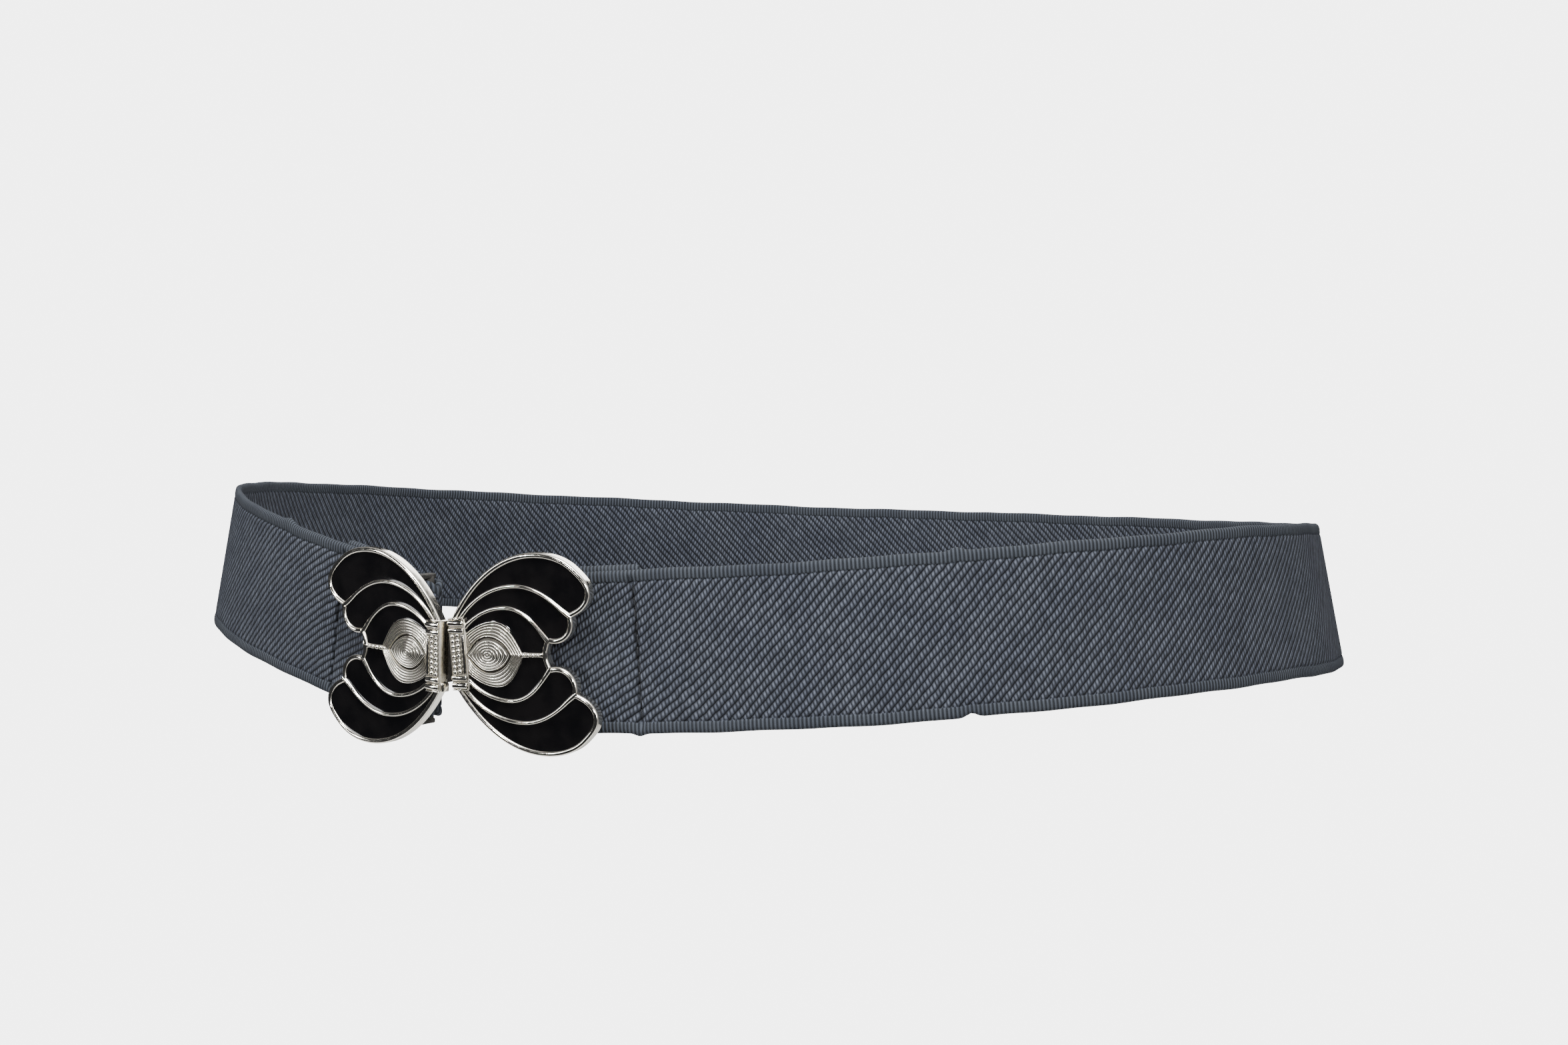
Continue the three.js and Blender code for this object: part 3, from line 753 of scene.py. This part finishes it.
def half_strip(name, run_end):
    """Points of one side's rows: the section laid across each row, its thickness along the face's
    direction, with the seam's dip and the edges' marks added. Also each row's place along the
    cloth, and the painted shadow of the seam's slit at each point."""
    gap, side = half_settings[name]["gap"], half_settings[name]["side"]
    reach, inset, face_reach, face_inset, half_width, cloth, peek = half_rows(name, run_end - gap)
    share, from_edge, face = section.T
    is_front = face_inset < -0.99
    lift = face * half_thickness(from_edge)
    marks = edge_move(side * (reach + gap), share) * is_front
    across = share * half_width + marks + peek
    outward_face = face * face_inset < 0
    pinch = np.where(is_front, np.where(outward_face, 1.0, 0.45), np.where(outward_face, 0.45, 0.15))
    row_inset = inset + lift * face_inset + seam_dip(name, reach, share) * pinch
    points = webbing_place(name, reach + lift * face_reach, row_inset, across)
    return points, cloth[:, 0] + gap, seam_slit_shadow(name, reach, share) * is_front


right_points, right_cloth, right_slit_shadow = half_strip("right", loop_length / 2)
left_points, left_cloth, left_slit_shadow = half_strip("left", loop_length / 2 - run_step)
strip_points = np.concatenate([right_points, left_points[::-1]])
strip_along = np.concatenate([right_cloth, (loop_length - left_cloth)[::-1]])
strip_slit_shadow = np.concatenate([right_slit_shadow, left_slit_shadow[::-1]])

# %% [markdown]
# The ribs climb at about 33 degrees beside the clasp, where the cloth is stretched, and at about
# 46 degrees further round. Their map therefore bends: it adds up the sine and cosine of the angle
# along the strip, so that the ribs stay evenly apart while they turn.


# %% Maps for the weave, and the finished webbing
def rib_angle(along):
    """Angle of the ribs to the strip: 33 degrees near the clasp, 46 from 74 mm on."""
    from_clasp = np.minimum(np.abs(along), np.abs(along - loop_length))
    return np.radians(33.0 + 13.0 * smoothstep(from_clasp, 34.0, 74.0))


along_table = np.linspace(-120.0, loop_length + 120.0, 4001)
table_step = along_table[1] - along_table[0]
sine_sum = np.cumsum(np.sin(rib_angle(along_table))) * table_step
cosine_sum = np.cumsum(np.cos(rib_angle(along_table))) * table_step


def cloth_maps(along, share):
    """Two maps in millimetres: (along, across) the cloth, and (across, along) the ribs, where the
    latter are v cos - sum of sin and v sin + sum of cos of the ribs' angle."""
    across = share * webbing_width / 2
    angle = rib_angle(along)
    over = across * np.cos(angle) - np.interp(along, along_table, sine_sum)
    down = across * np.sin(angle) + np.interp(along, along_table, cosine_sum)
    return np.stack([along, across], axis=-1), np.stack([over, down], axis=-1)


def make_webbing():
    """The strip as one closed mesh, with both maps on its corners."""
    rows, columns = strip_points.shape[:2]
    points, faces, _ = tube_surface(strip_points)
    mesh = bpy.data.meshes.new("webbing")
    mesh.from_pydata((points * MM).tolist(), [], faces)
    along = np.repeat(strip_along, columns)
    share = np.tile(section[:, 0], rows)
    corners = np.empty(len(mesh.loops), dtype=np.int64)
    mesh.loops.foreach_get("vertex_index", corners)
    for name, values in zip(("cloth", "ribs"), cloth_maps(along, share)):
        layer = mesh.uv_layers.new(name=name)
        layer.data.foreach_set("uv", values[corners].astype(np.float32).ravel())
    # Painted shadow of the seams' slits, one number per point.
    point_values(mesh, "slit_shadow", strip_slit_shadow)
    return smooth_object(mesh, webbing_material, merge=False)


webbing = on_the_belt(make_webbing(), "elastic_webbing")
print("webbing:", len(webbing.data.polygons), "faces")


# %% [markdown]
# A line of lock stitches holds each hidden end to the front layer. Each stitch is a short piece
# of thread that lies in the seam's dip and dives at both ends, so it is a small bent tube.

# %% Stitches
stitch_pitch = 2.9
stitch_length = 2.5
stitched_half_width = 16.0
stitch_sink = 0.45
thread_radius = 0.24


def bent_tube(path, radius, around, guide):
    """A tube round a path: circles of the radius, one for all points or one each, in the plane
    across the path there. The guide is a direction that the path never takes."""
    way = unit(np.gradient(path, axis=0))
    side = unit(np.cross(way, guide))
    top = np.cross(side, way)
    angle = np.linspace(0.0, 2 * math.pi, around, endpoint=False)[:, None]
    ring = side[:, None] * np.cos(angle) + top[:, None] * np.sin(angle)
    return tube_surface(path[:, None] + np.reshape(radius, (-1, 1, 1)) * ring)


def make_stitches(name):
    """Stitches along one seam. Each follows the seam's dip, and its ends sink deeper by the
    fourth power of the distance from its middle."""
    run = np.linspace(-1.0, 1.0, 9)
    surfaces = []
    for index in range(int(2 * stitched_half_width / stitch_pitch)):
        middle = stitch_pitch * (index + 0.5) - stitched_half_width
        across = middle + run * stitch_length / 2
        share = across / (webbing_width / 2)
        reach = seam_place(name, share) + 0.12 * np.sin(index * 2.1)
        sink = seam_dip(name, reach, share) - webbing_thickness / 2 - 0.06 + stitch_sink * run**4
        thread = webbing_place(name, reach, sink, across)
        surfaces.append(bent_tube(thread, thread_radius, 6, [0.01, 0.01, 1.01]))
    return on_the_belt(belt_piece(name + "_seam_thread", surfaces, thread_material))


seams = [make_stitches(name) for name in halves]
print("stitched seams:", [piece.name for piece in seams])

# %% [markdown]
# A wing is drawn with a few curves. Each curve passes through stations with a heading of its own,
# and between two stations it is a Bezier curve that bends as a circle's arc would. The upper half
# is drawn, and the lower half is its mirror image, as in the casting.

# %% The wing's drawing
outer_cusp = (0.864, 0.372)
inner_cusp = (0.697, 0.121)
outer_feather_edge = [
    (0.018, 0.356, 58),
    (0.63, 1.0, 0),
    (0.905, 0.849, -42),
    (1.0, 0.611, -90),
    (0.941, 0.439, -141),
    (*outer_cusp, -155),
]
middle_feather_edge = [(*outer_cusp, -75), (*inner_cusp, 165)]
inner_feather_edge = [(*inner_cusp, -112), (0.676, 0.0, -90)]
outer_partition = [(0.072, 0.339, 52), (0.483, 0.674, 0), (0.776, 0.477, -40), (*outer_cusp, -32)]
inner_partition = [(0.108, 0.264, 44), (0.401, 0.46, 0), (0.64, 0.234, -52), (*inner_cusp, -50)]
eye_edge = [(0.108, 0.192, 38), (0.319, 0.325, 0), (0.46, 0.176, -58), (0.519, 0.0, -64)]
pupil_edge = [(0.118, 0.0, 40), (0.262, 0.16, 0), (0.425, 0.0, -62)]


def trace(stations, samples=24):
    """Points (u, v) in millimetres along a curve: cubic Beziers whose handles are the chord times
    two thirds of tan(turn / 4) over sin(turn / 2)."""
    places = np.array([[u * wing_length, v * wing_half_height] for u, v, _ in stations])
    headings = np.radians([heading for _, _, heading in stations])
    s = np.linspace(0.0, 1.0, samples + 1)[:, None]
    stretches = []
    for i in range(len(stations) - 1):
        chord = np.linalg.norm(places[i + 1] - places[i])
        swing = np.mod(headings[i + 1] - headings[i] + math.pi, 2 * math.pi) - math.pi
        turn = max(abs(swing), 0.01)
        handle = chord * (2 / 3) * math.tan(turn / 4) / math.sin(turn / 2)
        leave = np.array([math.cos(headings[i]), math.sin(headings[i])]) * handle
        arrive = np.array([math.cos(headings[i + 1]), math.sin(headings[i + 1])]) * handle
        a, b, c, d = places[i], places[i] + leave, places[i + 1] - arrive, places[i + 1]
        curve = a * (1 - s) ** 3 + b * 3 * s * (1 - s) ** 2 + c * 3 * s * s * (1 - s) + d * s**3
        stretches.append(curve[1:] if i else curve)
    return np.concatenate(stretches)


def spaced(points, count):
    """The same curve with its points evenly apart."""
    lengths = np.concatenate([[0.0], np.cumsum(np.linalg.norm(np.diff(points, axis=0), axis=1))])
    wanted = np.linspace(0.0, lengths[-1], count)
    return np.stack([np.interp(wanted, lengths, points[:, k]) for k in range(2)], axis=-1)


def closed_by_mirror(upper):
    """A ring: a curve from one point on the axis to another, and its mirror image back."""
    return np.concatenate([upper, (upper * np.array([1.0, -1.0]))[-2:0:-1]])


def lifted(flat, height):
    """Points (u, v, w) from points (u, v) and the heights that go with them."""
    return np.concatenate([flat, np.broadcast_to(height, flat.shape[:-1])[..., None]], axis=-1)


def left_normals(points):
    """Unit vectors to the left of the way along a curve."""
    way = unit(np.gradient(points, axis=0))
    return np.stack([-way[:, 1], way[:, 0]], axis=-1)


print("outer feather edge:", len(trace(outer_feather_edge)), "points")

# %% [markdown]
# Rims and partitions are the same kind of thing: a rounded ridge that follows a curve. Their
# section is carried along it, sideways by the curve's normal and up by w. A rim also makes the
# outside wall of the plate, so its section goes down to the plate's back.

# %% Ridges
plate_thickness = 1.2
rim_top = 2.6
rim_width = 1.2
plate_inset = 0.35
partition_width = 1.05
enamel_top = 2.2


def arch(width, shoulder, top, base):
    """A ridge's section as (sideways, up): straight walls from the base to the shoulder and a
    round over them, a superellipse a little fuller than an ellipse."""
    half = width / 2
    angle = np.linspace(0.0, math.pi, 13)
    sideways = half * np.sign(np.cos(angle)) * np.abs(np.cos(angle)) ** 0.95
    upward = shoulder + (top - shoulder) * np.sin(angle) ** 0.9
    feet = [[-half, base + 0.2], [-half + 0.2, base], [half - 0.2, base], [half, base + 0.2]]
    return np.concatenate([np.stack([sideways, upward], axis=-1), feet])


def ridge(points, section, shift=0.0, taper=1.0):
    """A section carried along a curve: point + normal (shift + sideways), and w = up. taper
    scales the width, at each point or everywhere."""
    scale = np.broadcast_to(taper, len(points))[:, None]
    sideways = shift + section[:, 0] * scale
    flat = points[:, None] + left_normals(points)[:, None] * sideways[..., None]
    # Painted shade: a ridge darkens from its crest down its flanks, and a rim's outside wall stays
    # bright.
    low = np.clip((rim_top - 0.05 - section[:, 1]) / 0.55, 0.0, 1.0)
    outer_wall = (section[:, 0] > 0.3) & (section[:, 1] < 2.1) & (shift < 0.0)
    painted_shade = np.where(outer_wall, 0.12, 0.85 * low)
    return tube_surface(lifted(flat, section[:, 1]), np.tile(painted_shade, len(points)))


def mirrored(surface):
    """The same surface below the wing's axis; its faces are turned outward later."""
    points, faces, painted_shade = surface
    return points * np.array([1.0, -1.0, 1.0]), faces, painted_shade


def wing_ridges():
    """Rims round the feathers and partitions between them, upper and lower."""
    rim = arch(rim_width, 1.9, rim_top, 0.0)
    wall = arch(partition_width, 2.0, rim_top, 1.0)
    upper = [
        ridge(trace(stations), rim, shift=-rim_width / 2)
        for stations in (outer_feather_edge, middle_feather_edge, inner_feather_edge)
    ]
    share = np.linspace(0.0, 1.0, 70)
    taper = 0.85 + 0.35 * smoothstep(share, 0.8, 1.0) + 0.15 * smoothstep(1.0 - share, 0.8, 1.0)
    for stations in (outer_partition, inner_partition):
        upper.append(ridge(spaced(trace(stations), len(share)), wall, taper=taper))
    return upper + [mirrored(surface) for surface in upper]


print("ridges on a wing:", len(wing_ridges()))


# %% The plate
def wing_outline():
    """The closed outline: up the column, over the feathers and back by the mirror image."""
    upper = [[[0.0, outer_feather_edge[0][1] * wing_half_height]], trace(outer_feather_edge, 12)]
    for stations in (middle_feather_edge, inner_feather_edge):
        upper.append(trace(stations, 12)[1:])
    upper = np.concatenate(upper)
    return np.concatenate([upper, (upper * np.array([1.0, -1.0]))[-2::-1]])


def wing_plate():
    """A flat slab under the cells, just inside the rims' outer wall, with a softened back edge."""
    outline = wing_outline()
    inward = -left_normals(outline) * plate_inset
    rings = [(0.6, 0.02), (0.35, 0.0), (0.0, 0.2), (0.0, plate_thickness)]
    return tube_surface(np.array([lifted(outline + inward * (1.0 + shrink), w) for shrink, w in rings]))


print("plate outline:", len(wing_outline()), "points")

# %% [markdown]
# The eye of each wing is an almond of fine ridges, one inside another, round a raised pupil that
# has ridges of its own. Both are one surface: rings run from the almond's edge to the pupil's
# edge and on to its middle, and the height along each spoke is a slope with small waves on it.


# %% Eyes
eye_middle = (0.275, 0.0)
eye_oval = (5.2, 3.7)
half_ring = 48
outer_foot, outer_rise, outer_waves, outer_wave_depth, outer_rings = 2.30, 0.60, 5, 0.085, 64
inner_foot, inner_rise, inner_waves, inner_wave_depth, inner_rings = 2.85, 0.75, 6, 0.07, 72


def almond_ring(stations):
    """A closed ring: the curve from the inner end to the outer, and its mirror image back."""
    curve = trace(stations)
    if curve[0, 1] > 1e-6:
        curve = np.concatenate([[[curve[0, 0], 0.0]], curve])
    return closed_by_mirror(spaced(curve, half_ring))


def oval_ring():
    """An ellipse, with as many points as an almond ring and in step with it."""
    angle = np.linspace(0.0, math.pi, half_ring)
    u, v = -eye_oval[0] * np.cos(angle), eye_oval[1] * np.sin(angle)
    return closed_by_mirror(np.stack([u, v], axis=-1))


def eye_profile():
    """Rows of the eye from its wall to its middle: how far towards the pupil's edge, how far on
    towards its middle, height, and painted shade, darkest in the troughs, at the foot and round the
    pupil's edge. The waves are cosines."""
    outer = np.linspace(0.0, 1.0, outer_rings)
    wave = 1.0 - np.cos(outer * outer_waves * 2 * math.pi)
    outer_height = outer_foot + outer_rise * outer**0.7
    outer_height = outer_height - outer_wave_depth * wave * smoothstep(outer, 0.0, 0.08)
    inner = np.linspace(0.0, 1.0, inner_rings)
    ripple = 1.0 - np.cos(inner * inner_waves * 2 * math.pi)
    inner_height = inner_foot + inner_rise * (1.0 - (1.0 - inner) ** 2)
    inner_height = inner_height - inner_wave_depth * ripple * (1.0 - inner**8)
    # Painted shade: darkest in the troughs between the ridges.
    outer_painted_shade = 0.11 + 0.84 * (0.5 * wave) ** 1.3
    inner_painted_shade = 0.09 + 0.82 * (0.5 * ripple) ** 1.3
    return (
        np.concatenate([[0.0, 0.0], outer * 0.86, [0.90, 0.96, 1.0], np.ones(inner_rings)]),
        np.concatenate([[0.0, 0.0], np.zeros(outer_rings), [0.0, 0.0, 0.0], inner]),
        np.concatenate([[1.0, 2.1], outer_height, [2.40, 2.40, 2.6], inner_height]),
        np.concatenate([[0.6, 0.4], outer_painted_shade, [1.0, 1.0, 0.3], inner_painted_shade]),
    )


def wing_eye():
    """Each ring is a blend of the almond's edge and the pupil's edge, and inside the pupil of its
    edge, an oval and its middle, so that the innermost ridges are ovals."""
    towards_pupil, towards_middle, height, painted_shade = (row[:, None] for row in eye_profile())
    almond, pupil = almond_ring(eye_edge), almond_ring(pupil_edge)
    middle = np.array(eye_middle) * wing_length
    flat = almond + (pupil - almond) * towards_pupil[..., None]
    flat = flat + (middle + oval_ring() - flat) * smoothstep(towards_middle, 0.0, 0.45)[..., None]
    flat = flat + (middle - flat) * towards_middle[..., None]
    return tube_surface(lifted(flat, height), np.broadcast_to(painted_shade, flat.shape[:2]).ravel())


print("eye:", len(wing_eye()[1]), "faces")

# %% [markdown]
# The column at the middle of the clasp is a bar with two half-round ribs at each end and two rows
# of beads between them. A box with rounded edges is grown from a sphere, whose points are pushed
# apart along each axis, so that the round stays at the edges. Rods and beads are rows of circles.


# %% Rounded solids
edge_radius = 0.3


def swollen(low, high, radius=edge_radius, painted_shade=0.0):
    """A box with rounded edges: a sphere's point in each octant, moved to that octant's corner.
    Longitudes and latitudes are doubled where octants meet, which leaves flat faces between."""
    low, high = np.array(low, float), np.array(high, float)
    quarter = np.linspace(0.0, math.pi / 2, 4)
    longitude = np.concatenate([quarter + k * math.pi / 2 for k in range(4)])
    x_sign = np.repeat([1.0, -1.0, -1.0, 1.0], len(quarter))
    y_sign = np.repeat([1.0, 1.0, -1.0, -1.0], len(quarter))
    latitude = np.concatenate([quarter - math.pi / 2, quarter])[:, None]
    z_sign = np.repeat([-1.0, 1.0], len(quarter))[:, None]
    flat = 0.0 * latitude * longitude
    ring = np.cos(latitude)
    normal = np.stack([ring * np.cos(longitude), ring * np.sin(longitude), np.sin(latitude) + flat], -1)
    signs = np.stack([x_sign + flat, y_sign + flat, z_sign + flat], -1)
    return tube_surface((low + high) / 2 + signs * ((high - low) / 2 - radius) + normal * radius, painted_shade)


def both_ends(u, v, w, radius=edge_radius):
    """Two rounded boxes over ranges of u, v and w, one above the wing's axis and one below it."""
    above = swollen((u[0], v[0], w[0]), (u[1], v[1], w[1]), radius)
    return [above, mirrored(above)]


def bead(middle, radius):
    """A sphere of the radius round its middle, with painted shade darker towards its foot."""
    latitude = np.linspace(-math.pi / 2, math.pi / 2, 9)[:, None]
    longitude = np.linspace(0.0, 2 * math.pi, 14, endpoint=False)
    ring = np.cos(latitude)
    up = np.sin(latitude) + 0.0 * longitude
    grid = np.stack([ring * np.cos(longitude), ring * np.sin(longitude), up], axis=-1)
    return tube_surface(np.array(middle) + grid * radius, np.clip(0.7 - 1.2 * up.ravel(), 0.0, 0.7))


def rod(start, finish, radius):
    """A round bar with rounded ends: a circle carried between two points, shrinking at the ends."""
    start, finish = np.array(start, float), np.array(finish, float)
    way = unit(finish - start)
    bend = np.linspace(0.0, math.pi / 2, 5)
    inset = edge_radius * (1.0 - np.cos(bend))
    girth = radius - edge_radius * (1.0 - np.sin(bend))
    path = np.concatenate([start + way * inset[:, None], finish - way * inset[::-1, None]])
    return bent_tube(path, np.concatenate([girth, girth[::-1]]), 20, [0.3, 0.2, 1.0])


print("rounded solids ready")

# %% The column, its ribs and beads, and the bridge
column_width = 4.5
column_half_height = 8.5
column_top = 2.9
end_ribs = [(7.4, 0.8), (5.65, 0.72)]
rib_ends = (0.15, 4.35)
cap_box = ((0.1, 4.4), (8.25, 8.6), (2.4, 3.25))
cap_edge = 0.15
side_strip = ((3.45, -4.7, 2.4), (4.25, 4.7, 3.3))
bead_columns = [(1.15, 0.0), (2.5, 0.25)]
beads_in_column = 8
bead_pitch = 1.22
bead_radius = 0.6
bridge_start, bridge_end = 0.5, 0.676
bridge_beads = [(0.487, 0.42), (0.518, 0.5), (0.55, 0.56), (0.585, 0.5), (0.618, 0.42)]


def wing_column():
    """The bar, a thin cap and two ribs at each end, two rows of beads and a plain raised strip."""
    corner = np.array([column_width, column_half_height, column_top])
    points, faces, _ = swollen(corner * [0.0, -1.0, 0.0], corner)
    # The bar's top is darkened as painted shade between the beads; its sides are not.
    parts = [(points, faces, 0.75 * np.clip((points[:, 2] - 2.4) / 0.5, 0.0, 1.0))]
    for height, radius in end_ribs:
        for v in (-height, height):
            parts.append(rod(*((u, v, column_top) for u in rib_ends), radius))
    parts += both_ends(*cap_box, cap_edge)
    for u, shift in bead_columns:
        for index in range(beads_in_column):
            v = (index - (beads_in_column - 1) / 2) * bead_pitch + shift
            parts.append(bead((u, v, column_top + 0.1), bead_radius))
    parts.append(swollen(*side_strip, painted_shade=0.05))
    return parts


def wing_bridge():
    """A low ridge from the eye's tip to the rim along the axis, with beads along its crest."""
    share = np.linspace(0.0, 1.0, 24)
    run = np.linspace(bridge_start, bridge_end, 24)[:, None] * np.array([[wing_length, 0.0]])
    widths = 1.15 + 0.5 * smoothstep(0.3 - share, 0.0, 0.3) + 2.4 * smoothstep(share, 0.72, 1.0) ** 2
    beads = [bead((u * wing_length, 0.0, 2.55), radius) for u, radius in bridge_beads]
    return [ridge(run, arch(0.9, 2.0, 2.5, 1.0), taper=widths), *beads]


print("column parts:", len(wing_column()), "bridge parts:", len(wing_bridge()))

# %% [markdown]
# Behind each plate a round bar between two lugs carries the webbing. The left half has a tongue
# that slips under the right half's plate, and the right half has a keeper that holds it there.
# They are hidden when the belt is worn, and are coloured near black as painted shade.

# %% Back parts
bar_depth = strap_stand_off + fold_radius
lug_inner = squeezed_half_width + 0.3
lug_thickness = 1.2
lug_half_reach = 1.1
tongue_half_width = 6.5
keeper_reach = (2.0, 3.6)
keeper_inner, keeper_outer = 7.3, 8.6
keeper_back, keeper_front = -3.25, -2.05
inside_plate = 0.6
catch_box = ((-0.8, -8.5, 0.4), (0.3, -6.3, 2.5))


def strap_bar():
    """The bar, and a lug at each end that joins it to the plate."""
    bar_end = lug_inner + lug_thickness / 2
    bar = rod((bar_reach, -bar_end, -bar_depth), (bar_reach, bar_end, -bar_depth), bar_radius)
    lug_reach = (bar_reach - lug_half_reach, bar_reach + lug_half_reach)
    lug_depth = (-bar_depth - bar_radius, inside_plate)
    return [bar, *both_ends(lug_reach, (lug_inner, lug_inner + lug_thickness), lug_depth)]


def hook_tongue():
    """The tongue lies in the right half's frame, under its plate."""
    return [swollen((-2.6, -tongue_half_width, -1.65), (5.4, tongue_half_width, -0.4), 0.35)]


def tongue_root():
    """The block that carries the tongue, in the left half's frame."""
    return [swollen((0.0, -tongue_half_width, -2.25), (2.6, tongue_half_width, inside_plate))]


def tongue_keeper():
    """A bar behind the tongue and a post at each end of it."""
    near, far = keeper_reach
    bar = swollen((near, -keeper_outer, keeper_back), (far, keeper_outer, keeper_front))
    posts = both_ends(keeper_reach, (keeper_inner, keeper_outer), (keeper_back, inside_plate))
    return [bar, *posts]


def placed(name, surfaces):
    """Surfaces of a clasp half, moved to that half's place on the belt."""
    return [(in_half(name, points), faces, painted_shade) for points, faces, painted_shade in surfaces]


def make_back(name):
    """The metal behind one clasp half, near black as painted shade: its bar and lugs, and the tongue or
    the keeper.
    """
    back = placed(name, strap_bar())
    if name == "left":
        back += placed("left", tongue_root()) + placed("right", hook_tongue())
    else:
        back += placed("right", tongue_keeper())
    return on_the_belt(belt_piece(name + "_back_parts", back, back_shade_material))


def make_wing(name):
    """The polished metal of one clasp half, joined into one piece."""
    front = [wing_plate(), wing_eye(), *wing_ridges(), *wing_column(), *wing_bridge()]
    if name == "left":
        front.append(swollen(*catch_box, painted_shade=0.1))
    piece = belt_piece(name + "_casting", placed(name, front), silver_material)
    return on_the_belt(piece, name + "_wing")


backs = [make_back(name) for name in halves]
castings = [make_wing(name) for name in halves]
print("castings:", {piece.name: len(piece.data.polygons) for piece in castings + backs})

# %% [markdown]
# Enamel is poured into the cells and creeps up their walls as it sets, so its surface is flat in
# the middle and turns up at the sides. Each cell lies between two curves of the drawing. Points
# evenly apart on both are joined by spokes, and the section along a spoke is carried down the cell.


# %% Enamel cells
spokes = 72
middle_drop, edge_rise = 0.08, 0.26
cell_bottom = plate_thickness - 0.05


def inside_rim(stations):
    """A rim's curve, moved to the middle of the rim."""
    curve = trace(stations)
    return curve - left_normals(curve) * rim_width / 2


def then(first, second):
    """One curve after another, without the start of the second, which lies under the rim."""
    return np.concatenate([first, second[6:]])


under_eye = trace(eye_edge) - np.array([0.0, 0.25])
under_bridge = np.array([[0.6, 0.0], [0.66, 0.0]]) * wing_length
outer_wall, inner_wall = trace(outer_partition), trace(inner_partition)
cell_curves = {
    "outer": (inside_rim(outer_feather_edge), outer_wall),
    "middle": (then(outer_wall, inside_rim(middle_feather_edge)), inner_wall),
    "inner": (
        then(inner_wall, inside_rim(inner_feather_edge)),
        np.concatenate([under_eye, under_bridge]),
    ),
}


def enamel_cell(outer_curve, inner_curve):
    """Spokes from one curve to the other. The top rises from just under enamel_top by a sixth
    power of the distance from the middle; the bottom is flat, just inside the plate."""
    outside, inside = spaced(outer_curve, spokes), spaced(inner_curve, spokes)
    share = np.linspace(0.0, 1.0, 21)
    top = enamel_top - middle_drop + edge_rise * np.abs(2 * share - 1) ** 6
    share = np.concatenate([share, [1.0, 0.0]])[:, None]
    height = np.concatenate([top, [cell_bottom, cell_bottom]])
    return tube_surface(lifted(outside[:, None] + (inside - outside)[:, None] * share, height))


cells = []
for name in halves:
    for level in ("upper", "lower"):
        for feather, curves in cell_curves.items():
            cell = enamel_cell(*curves)
            surfaces = placed(name, [cell if level == "upper" else mirrored(cell)])
            piece = belt_piece(f"{name}_{level}_{feather}_cell", surfaces, enamel_material)
            cells.append(on_the_belt(piece, f"{name}_enamel_{level}_{feather}"))
print("enamel cells:", len(cells))
